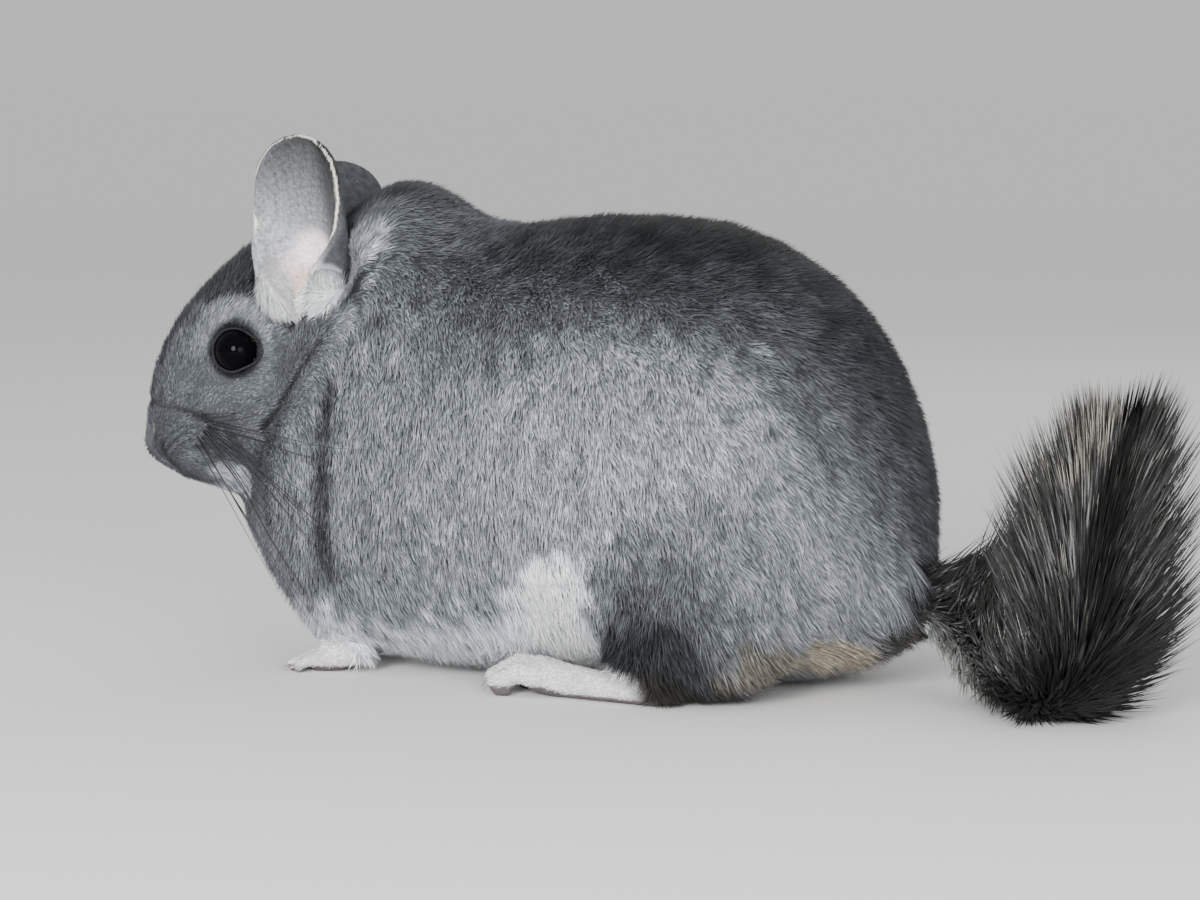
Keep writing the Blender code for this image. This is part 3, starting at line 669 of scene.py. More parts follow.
def finer(obj, near):
    """Splits every edge whose two ends are near."""
    bm = bmesh.new()
    bm.from_mesh(obj.data)
    bm.verts.ensure_lookup_table()
    edges = [e for e in bm.edges if near[e.verts[0].index] and near[e.verts[1].index]]
    bmesh.ops.subdivide_edges(bm, edges=edges, cuts=1, use_grid_fill=True)
    bmesh.ops.triangulate(bm, faces=[f for f in bm.faces if len(f.verts) > 3])
    bm.to_mesh(obj.data)
    bm.free()


def toe_gaps():
    """The lines between neighbouring toes, on the left side of the drawing."""
    lines = []
    for toes, at, turn in ((HIND_TOES[:3], HIND_HEEL, HIND_TURN), (FINGERS[:4], FORE_WRIST, FORE_TURN)):
        place = foot_place(at, turn, -1)
        for first, second in zip(toes, toes[1:]):
            ends = []
            for a, b in zip(first[:2], second[:2]):
                middle = (Vector(a) + Vector(b)) / 2 + Vector((0, 0, first[2] * 0.55))
                ends.append(place @ mirrored_side(middle, -1))
            lines.append(ends)
    return lines


def shape_face(skin):
    """Sinks nostrils, the lip's cleft, the mouth, the creases of muzzle and neck, and the hollow
    that the rear lobe of each ear stands in."""
    finer(skin, nose_distance(coordinates(skin)) < FACE_REACH)
    points, normals = coordinates(skin), vertex_normals(skin)
    points = averaged(points, edge_array(skin), 1)
    push = np.zeros(len(points))
    for line, half, depth in FACE_LINES:
        for side in (-1, 1):
            places = [head_place(a, side * b, c) for a, b, c in line]
            push = np.maximum(push, depth * np.exp(-(near_line(points, places) / half) ** 2))
    left = both_sides(points)
    for line, half, depth in BODY_FOLDS:
        push = np.maximum(push, depth * np.exp(-(near_line(left, line) / half) ** 2))
    for line in toe_gaps():
        push = np.maximum(push, TOE_GAP_DEPTH * np.exp(-(near_line(left, line) / TOE_GAP_HALF) ** 2))
    points = points - normals * push[:, None]
    seat = np.linalg.norm((both_sides(points) - np.array(EAR_SEAT)) / np.array(EAR_SEAT_SIZE), axis=1)
    points[:, 1] -= np.sign(points[:, 1]) * EAR_SEAT_DEPTH * np.exp(-(seat / EAR_SEAT_EDGE) ** 4)
    points[:, 2] = np.maximum(points[:, 2], LOWEST)
    set_coordinates(skin, points)


skin = make_skin()
shape_face(skin)
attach(skin, "root")
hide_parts(*FLESH_NODES, *FOOT_NODES)

# The coat's colours. The hair is slate at its root, pale further up and often black at its tip, so each
# place has one middle grey, and the saddle, haunch and face are darker or lighter patches over it.
# The folds of shoulder and neck, the gaps between the toes and the creases of nose, mouth and
# nostrils get painted shade. Skin and hair read the same patches.
SIDE_GREY, BACK_GREY, HEAD_GREY = 0.272, 0.0125, 0.122
SADDLE_HEIGHT, SADDLE_DARK = (58, 80, 97, 112, 124, 135), (0, 0.08, 0.28, 0.42, 0.62, 1)
COOL, WARM, CREAM = np.array((0.93, 1.0, 1.11)), np.array((1.06, 1.0, 0.84)), np.array((1.16, 1.0, 0.74))
BODY_PATCHES = (
    # middle, radii, grey, tint, strength; the left side, which the right one mirrors
    ((34, -58, 72), (48, 22, 34), 0.345, COOL, 0.55),
    ((-28, -14, 134), (26, 30, 20), 0.105, COOL, 0.9),
    ((-44, -36, 62), (26, 20, 44), 0.20, COOL, 0.7),
    ((-66, -24, 36), (16, 30, 26), 0.19, COOL, 0.7),
    ((-60, -24, 14), (16, 30, 14), 0.60, COOL, 0.8),
    ((-12, 0, 4), (62, 62, 22), 0.72, COOL, 0.95),
    ((17, -46, 21), (17, 24, 22), 0.95, COOL, 1.0),
    ((60, -58, 36), (30, 26, 27), 0.15, COOL, 0.75),
    ((46, -52, 18), (25, 28, 27), 0.06, COOL, 0.75),
    ((44, -50, 11), (18, 26, 17), 0.022, COOL, 0.92),
    ((48, -52, 4), (19, 18, 8), 0.02, WARM, 1.0),
    ((76, -50, 12), (14, 18, 9), 0.12, CREAM, 0.8),
    ((90, -34, 9), (17, 24, 10), 0.42, CREAM, 0.9),
    ((106, -12, 15), (9, 22, 9), 0.05, WARM, 0.9),
)
HEAD_PATCHES = (
    ((-102, -22, 66), (10, 9, 9), 0.10, COOL, 0.7),
    ((-88, -17, 54), (9, 10, 6), 0.46, COOL, 1.0),
    ((-80, -22, 112), (7, 9, 8), 0.045, COOL, 0.95),
    ((-43, -33, 121), (9, 12, 11), 0.36, COOL, 0.9),
    ((-47, -36, 108), (4, 9, 12), 0.29, COOL, 0.8),
)
BROW_ALONG, BROW_HALF, BROW_LOW = (-5, 5, 14, 22, 35, 50), (24, 21.5, 18, 13, 9.5, 7.5), (-8, -4, 2, 6, 4, 9)
# Painted shade along the folds of shoulder and neck, which the skin also sinks: line, half width, strength.
FOLD_SHADE_LINES = ((SHOULDER_FOLD, 3.2, 0.72), (NECK_FOLD, 1.8, 0.82))
# Painted shade in the creases of nose and mouth and in the nostrils, which the face's shaping also sinks.
FACE_CREASE_SHADE = (
    # places along, across and up the head, half width, grey, strength
    (NOSE_CREASE, 1.5, 0.018, 0.9),
    (MOUTH, 1.7, 0.03, 0.85),
    (NOSTRIL, 0.9, 0.006, 1.0),
)
NOSE_SPOT, PAD_MIDDLE = (53.7, 7.6, 5.8), (48.4, 12.6, -11.5)
BROW_GREY, BROW_STRENGTH = 0.034, 0.93
EYE_RING_GREY, EYE_RING_STRENGTH, LID_EDGE_GREY = 0.25, 0.9, 0.012
NOSE_SPOT_COLOUR, NOSE_SPOT_STRENGTH = np.array((0.352, 0.32, 0.32)), 0.8
PAD_ROW_STEP, PAD_ROW_DARK = 1.9, 0.42
# The last two values here paint shade into the gaps between the toes: how dark it is, and how wide.
FEET_COLOUR, TOE_GAP_SHADE, TOE_GAP_SHADE_WIDE = np.array((0.86, 0.83, 0.84)), 0.55, 0.95
TAIL_ABOVE, TAIL_BELOW = np.array((0.022, 0.022, 0.023)), 0.34 * WARM
# The first value darkens the skin under the coat as painted shade; the pads have their own colour.
SKIN_SHADE, PAD_COLOUR = 0.55, np.array((0.085, 0.072, 0.075))


def waves(points, size, seed):
    """A soft noise about zero whose lumps have this size in millimetres."""
    draw = np.random.default_rng(seed)
    turns = draw.normal(size=(16, 3))
    turns /= np.linalg.norm(turns, axis=1)[:, None]
    turns *= 2 * math.pi / size * draw.uniform(0.6, 1.5, (16, 1))
    return np.sin(points @ turns.T + draw.uniform(0, 6.28, 16)).sum(axis=1) / math.sqrt(8)


def patch_share(points, centre, radii, ragged):
    spread = np.linalg.norm((points - np.array(centre)) / np.array(radii), axis=1)
    return 1 - smooth_step(0.68, 1.18, spread + ragged)


def mixed(colour, target, share):
    """A colour at each place, moved towards a target by this share."""
    return colour + (target - colour) * share[:, None]


def still_line(line):
    """The left half of a line on the head, before the head turned."""
    return [still_place(along, -across, up) for along, across, up in line]


def body_colour(points, left, ragged):
    """Dark on the back, grey on the flank, with the body's patches over it."""
    saddle = points[:, 2] + 2.5 * waves(points, 11, 5)
    saddle += 1.05 * np.clip(points[:, 0] - 76, 0, None) + 10 * smooth_step(0, 60, points[:, 0])
    saddle -= 12 * smooth_step(0, -40, points[:, 0])
    dark = np.interp(saddle, SADDLE_HEIGHT, SADDLE_DARK)
    colour = np.exp(math.log(SIDE_GREY) * (1 - dark) + math.log(BACK_GREY) * dark)[:, None] * COOL
    for centre, radii, shade, tint, strength in BODY_PATCHES:
        colour = mixed(colour, shade * tint, strength * patch_share(left, centre, radii, ragged))
    return colour


def head_colour(colour, points, ragged):
    """The head's grey, brow and patches over the body's colour."""
    head, still = head_share(points), both_sides(in_head_frame(points))
    colour = mixed(colour, HEAD_GREY * COOL, head)
    from_origin, c, s = still - np.array(HEAD_ORIGIN), math.cos(HEAD_PITCH), math.sin(HEAD_PITCH)
    ahead, up = from_origin @ np.array((-c, 0, -s)), from_origin @ np.array((-s, 0, c))
    half = np.interp(ahead, BROW_ALONG, BROW_HALF)
    brow = 1 - smooth_step(half - 2.5, half + 2, np.abs(still[:, 1]) + 12 * ragged)
    brow *= smooth_step(0, 3, up - np.interp(ahead, BROW_ALONG, BROW_LOW)) * head
    colour = mixed(colour, BROW_GREY * COOL, BROW_STRENGTH * brow)
    for centre, radii, shade, tint, strength in HEAD_PATCHES:
        middle = in_head_frame(np.array([centre], float))[0]
        colour = mixed(colour, shade * tint, strength * patch_share(still, middle, radii, ragged))
    return colour


def face_colour(colour, points):
    """The marks round the eye, on the nose and along the whisker pad, and painted shade in the creases of
    nose and mouth and in the nostrils.
    """
    still, around = both_sides(in_head_frame(points)), eye_distance(points)
    above = smooth_step(-5, 3, still[:, 2] - EYE_CENTRE[2]) * (1 - smooth_step(6, 12, still[:, 0] + 86))
    ring = smooth_step(8.6, 10, around) * (1 - smooth_step(13, 17, around)) * above
    colour = mixed(colour, EYE_RING_GREY * COOL, EYE_RING_STRENGTH * ring)
    spot, pad_middle = np.array(still_line((NOSE_SPOT, PAD_MIDDLE)))
    pale = 1 - smooth_step(1.4, 3.4, np.linalg.norm(still - spot, axis=1))
    colour = mixed(colour, NOSE_SPOT_COLOUR, NOSE_SPOT_STRENGTH * pale)
    # Painted shade in the creases of nose and mouth and in the nostrils.
    for line, half, grey, strength in FACE_CREASE_SHADE:
        reach = near_line(still, still_line(line))
        colour = mixed(colour, grey, strength * np.exp(-(reach / half) ** 2))
    pad = np.linalg.norm(still - pad_middle, axis=1)
    rows = smooth_step(4, 6, pad) * (1 - smooth_step(11, 13.5, pad)) * (still[:, 2] > 58)
    rows *= PAD_ROW_DARK * (0.5 + 0.5 * np.cos(2 * math.pi * pad / PAD_ROW_STEP))
    colour = mixed(colour, 0, rows)
    return mixed(colour, LID_EDGE_GREY * COOL, 1 - smooth_step(7.9, 9.2, around))


def coat_colour(points):
    """The coat's colour at each place of the drawing, with painted shade in the folds, the toe gaps and the
    face's creases, as linear red, green and blue.
    """
    left, ragged = both_sides(points), 0.10 * waves(points, 9, 3)
    colour = body_colour(points, left, ragged)
    colour = face_colour(head_colour(colour, points, ragged), points)
    # Painted shade along the folds of shoulder and neck.
    for line, half, strength in FOLD_SHADE_LINES:
        near = 1 - smooth_step(half * 0.3, half * 1.5, near_line(left, line))
        colour = mixed(colour, 0, strength * near)
    colour = mixed(colour, FEET_COLOUR, foot_share(points) * smooth_step(46, 38, left[:, 0]))
    # Painted shade in the gaps between the toes.
    for line in toe_gaps():
        gap = np.exp(-(near_line(left, line) / TOE_GAP_SHADE_WIDE) ** 2)
        colour = mixed(colour, 0, TOE_GAP_SHADE * gap)
    under = smooth_step(22, 12, points[:, 2] + 0.25 * (points[:, 0] - 110))
    tail = TAIL_ABOVE * (1 - under[:, None]) + TAIL_BELOW * under[:, None]
    return np.clip(mixed(colour, tail, tail_share(points)), 0.003, 0.95)


def colour_vertices(obj, colours, name="coat"):
    layer = obj.data.color_attributes.new(name, "FLOAT_COLOR", "POINT")
    full = np.ones((len(colours), 4), np.float32)
    full[:, :3] = colours
    layer.data.foreach_set("color", full.ravel())


def hair_material(name):
    """Hair that takes its colour from the attribute of its tufts, with a faint grain."""
    made = new_material(name, {
        "Roughness": 0.85, "Sheen Weight": 0.05, "Sheen Roughness": 0.5, "Specular IOR Level": 0.15,
    })
    tree = made.node_tree
    shader = tree.nodes["Principled BSDF"]
    paint = node_of(tree, "ShaderNodeAttribute", attribute_name="coat")
    place = node_of(tree, "ShaderNodeTexCoord")
    grain = node_of(tree, "ShaderNodeTexNoise", {"Scale": 900, "Detail": 3})
    spread = node_of(
        tree, "ShaderNodeMapRange", {"From Min": 0.3, "From Max": 0.7, "To Min": 0.82, "To Max": 1.18}
    )
    tinted = node_of(tree, "ShaderNodeVectorMath", operation="SCALE")
    bump = node_of(tree, "ShaderNodeBump", {"Strength": 0.35, "Distance": 0.0004})
    linked(
        tree,
        (place.outputs["Object"], grain.inputs["Vector"]),
        (grain.outputs["Fac"], spread.inputs["Value"]),
        (paint.outputs["Color"], tinted.inputs[0]),
        (spread.outputs["Result"], tinted.inputs["Scale"]),
        (tinted.outputs["Vector"], shader.inputs["Base Color"]),
        (grain.outputs["Fac"], bump.inputs["Height"]),
        (bump.outputs["Normal"], shader.inputs["Normal"]),
    )
    return made


def dressed(obj, material):
    """Gives a piece its only material and smooth shading."""
    obj.data.materials.clear()
    obj.data.materials.append(material)
    obj.data.shade_smooth()


def pad_share(points):
    """1 on the bare pads under the feet, which reach highest on the hind toes."""
    toes = smooth_step(20, 14, points[:, 0]) * np.where(points[:, 0] > -40, 1.0, 0.1)
    return foot_share(points) * (1 - smooth_step(1.2 + 1.4 * toes, 2.2 + 1.4 * toes, points[:, 2]))


def skin_colour(points):
    """The skin under the coat: its hair's colour darkened as painted shade under the coat, and bare grey-pink
    pads under the feet.
    """
    return mixed(coat_colour(points) * SKIN_SHADE, PAD_COLOUR, pad_share(points))


fur = hair_material("fur")
dressed(skin, fur)
colour_vertices(skin, skin_colour(coordinates(skin)))

# The body's coat: short, dense, plush hair in small closed tufts, each a slim spike whose root is sunk in
# the skin and whose tip follows the lie of the coat, which runs from the nose to the tail and down
# the sides.
BODY_TUFTS, BODY_PIECES = 196000, 5
FOOT_WAY = np.array((-1.0, 0.2, -0.1))
TUFT_PATCH, TUFT_LOWEST, TUFT_SINK, TUFT_THICK, TUFT_SHADING = 0.003, 0.15, 0.35, 0.42, 0.22


def surface_of(obj):
    """A mesh as arrays: vertices in millimetres, triangles and vertex normals."""
    obj.data.calc_loop_triangles()
    flat = np.empty(len(obj.data.loop_triangles) * 3, np.int32)
    obj.data.loop_triangles.foreach_get("vertices", flat)
    return coordinates(obj), flat.reshape(-1, 3), vertex_normals(obj)


def scattered(surface, weight, count, draw):
    """Roots spread over a surface, with their normals. weight(places) is how dense they stand."""
    points, triangles, normals = surface
    a, b, c = (points[triangles[:, k]] for k in range(3))
    area = np.linalg.norm(np.cross(b - a, c - a), axis=1) / 2
    chance = np.cumsum(area * weight((a + b + c) / 3))
    picks = (np.arange(count) + draw.random(count)) / count * chance[-1]
    which = np.minimum(np.searchsorted(chance, picks), len(triangles) - 1)
    s, t = np.sqrt(draw.random(count)), draw.random(count)
    shares = np.stack([1 - s, s * (1 - t), s * t], axis=1)
    corners = triangles[which]
    places = (points[corners] * shares[:, :, None]).sum(axis=1)
    tilts = (normals[corners] * shares[:, :, None]).sum(axis=1)
    return places, tilts / np.linalg.norm(tilts, axis=1)[:, None]


def unit(vectors):
    return vectors / np.linalg.norm(vectors, axis=1).clip(1e-9)[:, None]


def along_surface(directions, normals):
    """Directions laid flat on the surface."""
    return unit(directions - normals * (directions * normals).sum(axis=1)[:, None])


def turned_about(directions, normals, angles):
    c, s = np.cos(angles)[:, None], np.sin(angles)[:, None]
    return directions * c + np.cross(normals, directions) * s


def tail_way(points):
    """The way the tail runs at the part of it nearest to each place."""
    centres, ahead = tail_frames(TAIL_RINGS)[:2]
    return ahead[np.argmin(np.linalg.norm(points[:, None] - centres[None], axis=2), axis=1)]


def coat_lie(points, normals, draw):
    """Which way the hair lies: back and down over the body, away from the nose on the head."""
    sides = np.abs(normals[:, 1])
    body = np.stack([
        0.75 + 0.25 * normals[:, 2],
        0.25 * normals[:, 1],
        -0.25 - 1.15 * sides * smooth_step(-0.5, 0.4, normals[:, 2] + 0.5),
    ], axis=1)
    nose = np.array(head_turn())[:3, :3] @ np.array(NOSE_TIP) + np.array(head_turn())[:3, 3]
    head = unit(points - nose) + np.array((0.2, 0, 0.0))
    share = head_share(points)[:, None]
    flow = mixed(body * (1 - share) + head * share, FOOT_WAY, foot_share(points))
    flow = along_surface(mixed(flow, tail_way(points), tail_share(points)), normals)
    swing = 0.16 * waves(points, 13, 11) + draw.normal(0, 0.13, len(points))
    return turned_about(flow, normals, swing)


def tuft_shapes(roots, normals, lies, lengths, widths, leans):
    """Four points for each tuft: three round its root, and its tip."""
    across = np.cross(normals, lies)
    lean, long, wide = leans[:, None], lengths[:, None], widths[:, None]
    heading = np.cos(lean) * lies + np.sin(lean) * normals
    above = np.cross(heading, across)
    base = roots - normals * TUFT_SINK
    left = base + across * wide * 0.5
    right = base - across * wide * 0.5
    return np.stack([left, right, base + above * wide * TUFT_THICK, base + heading * long], axis=1)


TUFT_FACES = np.array([(0, 3, 1), (0, 2, 3), (1, 3, 2), (0, 1, 2)])
TUFT_MAP = np.array([(-0.5, 0), (0.5, 0), (0, 0.1), (0, 1.0)])


def tuft_piece(name, shapes, faces, normals, colours, roots_on_map, patch, material):
    """Many small closed forms as one piece. shapes and colours are (form, point, 3)."""
    count, size = shapes.shape[:2]
    mesh = bpy.data.meshes.new(name)
    mesh.vertices.add(count * size)
    places = ((shapes.reshape(-1, 3) + np.array(OFFSET)) * MM).astype(np.float32)
    mesh.vertices.foreach_set("co", places.ravel())
    corners = (faces[None] + (np.arange(count) * size)[:, None, None]).reshape(-1, 3)
    mesh.loops.add(corners.size)
    mesh.loops.foreach_set("vertex_index", corners.ravel().astype(np.int32))
    mesh.polygons.add(len(corners))
    mesh.polygons.foreach_set("loop_start", np.arange(0, corners.size, 3, dtype=np.int32))
    mesh.update(calc_edges=True)
    mesh.shade_smooth()
    flat = mesh.uv_layers.new(name="OFBake")
    spots = (roots_on_map[:, None] + patch[None] * TUFT_PATCH).reshape(-1, 2)
    flat.data.foreach_set("uv", spots[corners.ravel()].astype(np.float32).ravel())
    obj = bpy.data.objects.new(name, mesh)
    bpy.context.scene.collection.objects.link(obj)
    colour_vertices(obj, colours.reshape(-1, 3))
    mesh.normals_split_custom_set_from_vertices(normals.reshape(-1, 3))
    mesh.materials.append(material)
    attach(obj, "root")
    return obj


def tuft_normals(shapes, normals):
    """Shading directions: mostly the skin's own, so that the coat looks soft, partly the tuft's."""
    own = unit((shapes - shapes.mean(axis=1, keepdims=True)).reshape(-1, 3)).reshape(shapes.shape)
    mixture = normals[:, None] * (1 - TUFT_SHADING) + own * TUFT_SHADING
    return unit(mixture.reshape(-1, 3)).reshape(shapes.shape)


def tuft_colours(points, draw):
    """Darker at the root, with a tip that is black on many tufts and pale on the others."""
    count = len(points)
    base = coat_colour(points) * np.exp(draw.normal(0, 0.20, count))[:, None]
    base *= (1 + 0.13 * waves(points, 6, 21))[:, None]
    white = smooth_step(0.35, 0.75, base[:, 1])
    tipped = draw.random(count) < 0.42 - 0.36 * white
    tip = base * np.where(tipped, draw.uniform(0.3, 0.7, count), draw.uniform(1.1, 1.7, count))[:, None]
    root = base * (0.68 + 0.27 * white)[:, None]
    return np.clip(np.stack([root, root, root * 1.05, tip], axis=1), 0.003, 0.96)


def round_map(angles, heights):
    """A place on an unwrap round an axis, from an angle and a height."""
    span = (heights - heights.min()) / max(np.ptp(heights), 1e-6)
    return np.stack([0.01 + 0.98 * (angles / (2 * math.pi) + 0.5), 0.01 + 0.975 * span], axis=1)


def body_weight(points):
    """Dense on the body, and none on head, ears and feet, whose tufts are smaller."""
    free = (1 - head_share(points)) * (1 - tail_share(points)) * (1 - foot_share(points))
    return free * smooth_step(0.6, 2.5, points[:, 2])


def add_coat(name, weight, count, seed, pieces, sizes, lean):
    """Tufts all over one region of the skin, as some pieces. sizes gives their length and width,
    and lean how many degrees they stand off the skin."""
    draw = np.random.default_rng(seed)
    roots, normals = scattered(skin_surface, weight, count, draw)
    order = np.argsort(roots[:, 0], kind="stable")
    roots, normals = roots[order], normals[order]
    lies = coat_lie(roots, normals, draw)
    lengths, widths = sizes(roots)
    lengths = lengths * draw.uniform(0.8, 1.2, count)
    widths = widths * draw.uniform(0.75, 1.25, count)
    leans = np.radians(draw.normal(lean, 6, count)) + 0.05 * waves(roots, 7, 31)
    shapes = tuft_shapes(roots, normals, lies, lengths, widths, leans)
    shapes[:, :, 2] = np.maximum(shapes[:, :, 2], TUFT_LOWEST)
    colours = tuft_colours(roots, draw)
    for k, part in enumerate(np.array_split(np.arange(count), pieces)):
        angles = np.arctan2(roots[part, 1], roots[part, 2] - 65)
        tuft_piece(
            f"{name}_{k + 1}", shapes[part], TUFT_FACES, tuft_normals(shapes[part], normals[part]),
            colours[part], round_map(angles, roots[part, 0]), TUFT_MAP, fur,
        )


def body_sizes(points):
    """Longest on the fringe that hangs over the feet."""
    depth = coat_depth(points)
    fringe = smooth_step(28, 14, points[:, 2]) * smooth_step(-46, -30, points[:, 0])
    return 0.9 + 1.3 * depth + 3.0 * fringe, 0.40 + 0.09 * depth


skin_surface = surface_of(skin)
add_coat(
    "coat_body", body_weight, BODY_TUFTS, seed=41, pieces=BODY_PIECES, sizes=body_sizes, lean=41,
)

# The head's coat is much shorter and finer: it grows away from the nose, round the eyes and back to
# the ears, and is shortest on nose, lips and lids.
HEAD_TUFTS, HEAD_PIECES = 56000, 2


def head_weight(points):
    """Densest towards the nose, bare on its pad, the nostrils and the lids' edges."""
    bare = 1 - smooth_step(6.9, 7.4, eye_distance(points))
    still = both_sides(in_head_frame(points))
    for line, near in ((NOSTRIL, 1.1), ((NOSE_SPOT, (56.5, 3, 5)), 1.8)):
        reach = near_line(still, still_line(line))
        bare = np.maximum(bare, 1 - smooth_step(near, near + 0.5, reach))
    nose = nose_distance(points)
    return head_share(points) * (1 - bare) * (1.8 - smooth_step(10, 30, nose))


def head_sizes(points):
    """Longest on the brow between nose and ears."""
    depth = coat_depth(points)
    return 1.0 + 1.8 * depth + 0.9 * smooth_step(85, 108, points[:, 2]), 0.34 + 0.15 * depth


add_coat(
    "coat_head", head_weight, HEAD_TUFTS, seed=43, pieces=HEAD_PIECES, sizes=head_sizes, lean=30,
)

# The feet are clothed in short, even white hair that lies towards the toes and ends at the bare pads.
# It is close, so that the toes show through it one by one.
FOOT_TUFTS = 15000


def foot_weight(points):
    return foot_share(points) * (1 - pad_share(points)) * (1 - head_share(points)) * (points[:, 2] > 0.8)


def foot_sizes(points):
    low = smooth_step(12, 3, points[:, 2])
    return 1.7 - 0.4 * low, 0.46 - 0.08 * low


add_coat(
    "coat_feet", foot_weight, FOOT_TUFTS, seed=47, pieces=1, sizes=foot_sizes, lean=24
)

# The claws are short, blunt and curved, of pale grey horn. One stands at the tip of every toe and
# finger and bends down to the floor.
CLAW_LENGTHS = ((HIND_TOES, HIND_HEEL, HIND_TURN, 2.6), (FINGERS, FORE_WRIST, FORE_TURN, 2.0))
CLAW_STEPS, CLAW_SIDES = 6, 12
HORN_DARK, HORN_PALE, HORN_GRAIN = (0.12, 0.10, 0.095, 1), (0.42, 0.38, 0.35, 1), 1600


def mottle_group():
    """Node group: a colour that wanders between two tones, in finer spots at a larger scale."""
    group = bpy.data.node_groups.new("mottle", "ShaderNodeTree")
    for name, kind in (("Scale", "Float"), ("Dark", "Color"), ("Pale", "Color")):
        group.interface.new_socket(name, in_out="INPUT", socket_type="NodeSocket" + kind)
    group.interface.new_socket("Colour", in_out="OUTPUT", socket_type="NodeSocketColor")
    given, result = node_of(group, "NodeGroupInput"), node_of(group, "NodeGroupOutput")
    place, noise = node_of(group, "ShaderNodeTexCoord"), node_of(group, "ShaderNodeTexNoise")
    tone = node_of(group, "ShaderNodeMix", data_type="RGBA")
    linked(
        group,
        (place.outputs["Object"], noise.inputs["Vector"]),
        (given.outputs["Scale"], noise.inputs["Scale"]),
        (noise.outputs["Fac"], tone.inputs["Factor"]),
        (given.outputs["Dark"], tone.inputs["A"]),
        (given.outputs["Pale"], tone.inputs["B"]),
        (tone.outputs["Result"], result.inputs["Colour"]),
    )
    return group


mottle = mottle_group()


def mottled_material(name, dark, pale, scale, roughness, shine=0.5):
    """A smooth material with a fine mottle between two tones."""
    made = new_material(name, {"Roughness": roughness, "Specular IOR Level": shine})
    tree = made.node_tree
    fine = node_of(tree, "ShaderNodeGroup", {"Scale": scale, "Dark": dark, "Pale": pale}, node_tree=mottle)
    linked(tree, (fine.outputs["Colour"], tree.nodes["Principled BSDF"].inputs["Base Color"]))
    return made


def claw(tip, heading, thick, length):
    """A horn that runs on from the toe's tip and bends down to the floor."""
    across = heading.cross(Vector((0, 0, 1)))
    rings = []
    for k in range(CLAW_STEPS + 1):
        share = k / CLAW_STEPS
        height = (tip.z + 0.1 * thick) * (1 - share**2) + 0.9 * share**2
        centre = tip + heading * (thick * 0.45 + length * share)
        centre.z = height
        size = 0.26 * thick * (1 - 0.8 * share**1.5)
        rings.append(ring_points(centre, across, (0, 0, 1), size * 0.8, size * 1.15, CLAW_SIDES))
    return lofted("claw", rings)


def add_claws():
    claws = []
    for toes, at, turn, length in CLAW_LENGTHS:
        for side in (-1, 1):
            for root, tip, thick in toes:
                root, tip = mirrored_side(root, side), mirrored_side(tip, side)
                heading = Vector((tip.x - root.x, tip.y - root.y, 0)).normalized()
                claws += moved([claw(tip, heading, thick, length)], foot_place(at, turn, side))
    claws = joined("claws", claws)
    dressed(claws, mottled_material("horn", HORN_DARK, HORN_PALE, HORN_GRAIN, roughness=0.4))
    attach(claws, "root")


add_claws()

# The root of the tail has close hair that lies along it, black above and pale grey beneath. It covers
# the place where the brush's long hair begins.
TAIL_ROOT_TUFTS = 12000


def tail_root_weight(points):
    return tail_share(points) * (1 - smooth_step(128, 134, points[:, 0]))


def tail_root_sizes(points):
    above = smooth_step(14, 28, points[:, 2] + 0.3 * (points[:, 0] - 110))
    return 7.5 + 4 * above, np.full(len(points), 0.62)


add_coat(
    "coat_tail_root", tail_root_weight, TAIL_ROOT_TUFTS, seed=53, pieces=1, sizes=tail_root_sizes,
    lean=17,
)

# The ears are thin, wide leaves of skin under a grey velvet, folded together low down at the rear, with a
# pale edge, pink skin inside their lower half and two tufted white lobes at their foot.
EAR_ROOT, EAR_TOP = (-67.9, -15.5, 101), (-66.0, -37.7, 151.4)
RIGHT_FOOT_SHIFT, RIGHT_TOP_SHIFT = (-0.8, -1, -1), (-4.4, -1, -1.6)
EAR_FACING = 62.0
EAR_BODY = (
    # share of the height, half width, nearest and farthest point towards the opening, shift to the rear
    (-0.06, 4, -10, -3, 2), (-0.02, 8, -11, 2.5, 3), (0.03, 11, -10, 6.5, 3.8), (0.1, 13.8, -9, 8.6, 3.6),
    (0.19, 16.0, -9.2, 10, 2.4), (0.28, 17.2, -8.5, 9.5, 1.4), (0.44, 17.2, -6.5, 6.5, 0.5),
    (0.6, 16.9, -5, 4, 0.2), (0.74, 16.2, -3.8, 3, 0.5), (0.86, 13.8, -2.8, 2, 1.9),
    (0.94, 10.0, -2, 1.2, 3.1),
    (0.985, 5.4, -1.4, 0.4, 3.9), (1.0, 2.0, -1, -0.2, 4.2),
)
EAR_HOLLOW = (
    (-0.08, 0.8, 5, 18, 6.2), (-0.02, 1.4, 5.4, 18, 5.8), (0.05, 2.1, 4, 18.5, 5.2),
    (0.12, 3.0, 1.6, 19, 4.6), (0.2, 4.6, -2.4, 19, 3.6), (0.3, 8.0, -5.2, 19, 1.6),
    (0.42, 12.8, -5.4, 17, -0.6), (0.55, 15.6, -4.2, 15, -0.5), (0.7, 15.5, -3.1, 14, 0.3),
    (0.82, 13.6, -2.0, 13, 1.5), (0.9, 11.1, -1.3, 12, 2.5), (0.955, 7.4, -0.8, 11, 3.4),
    (0.985, 3.4, 0.0, 10, 3.9),
)
EAR_LOBES = (
    # share of the height, place to the rear and towards the opening, radii to the rear, out and up
    (0.19, -2.6, 6.5, 6.6, 5.6, 9.2),
    (0.229, 16.4, 7.2, 5.6, 5.2, 7.8),
)
EAR_VOXEL, EAR_ROUNDS, EAR_TUFTS, EAR_RINGS, EAR_SIDES = 0.5, 4, 13500, 80, 72
EAR_PINK, EAR_PEACH = np.array((0.90, 0.76, 0.82)), np.array((0.80, 0.60, 0.54))
EAR_LOBE, EAR_RIM = np.array((0.88, 0.90, 0.92)), np.array((0.70, 0.66, 0.58))
EAR_VELVET, EAR_SQUARENESS = np.array((0.97, 1.0, 1.07)), 0.91


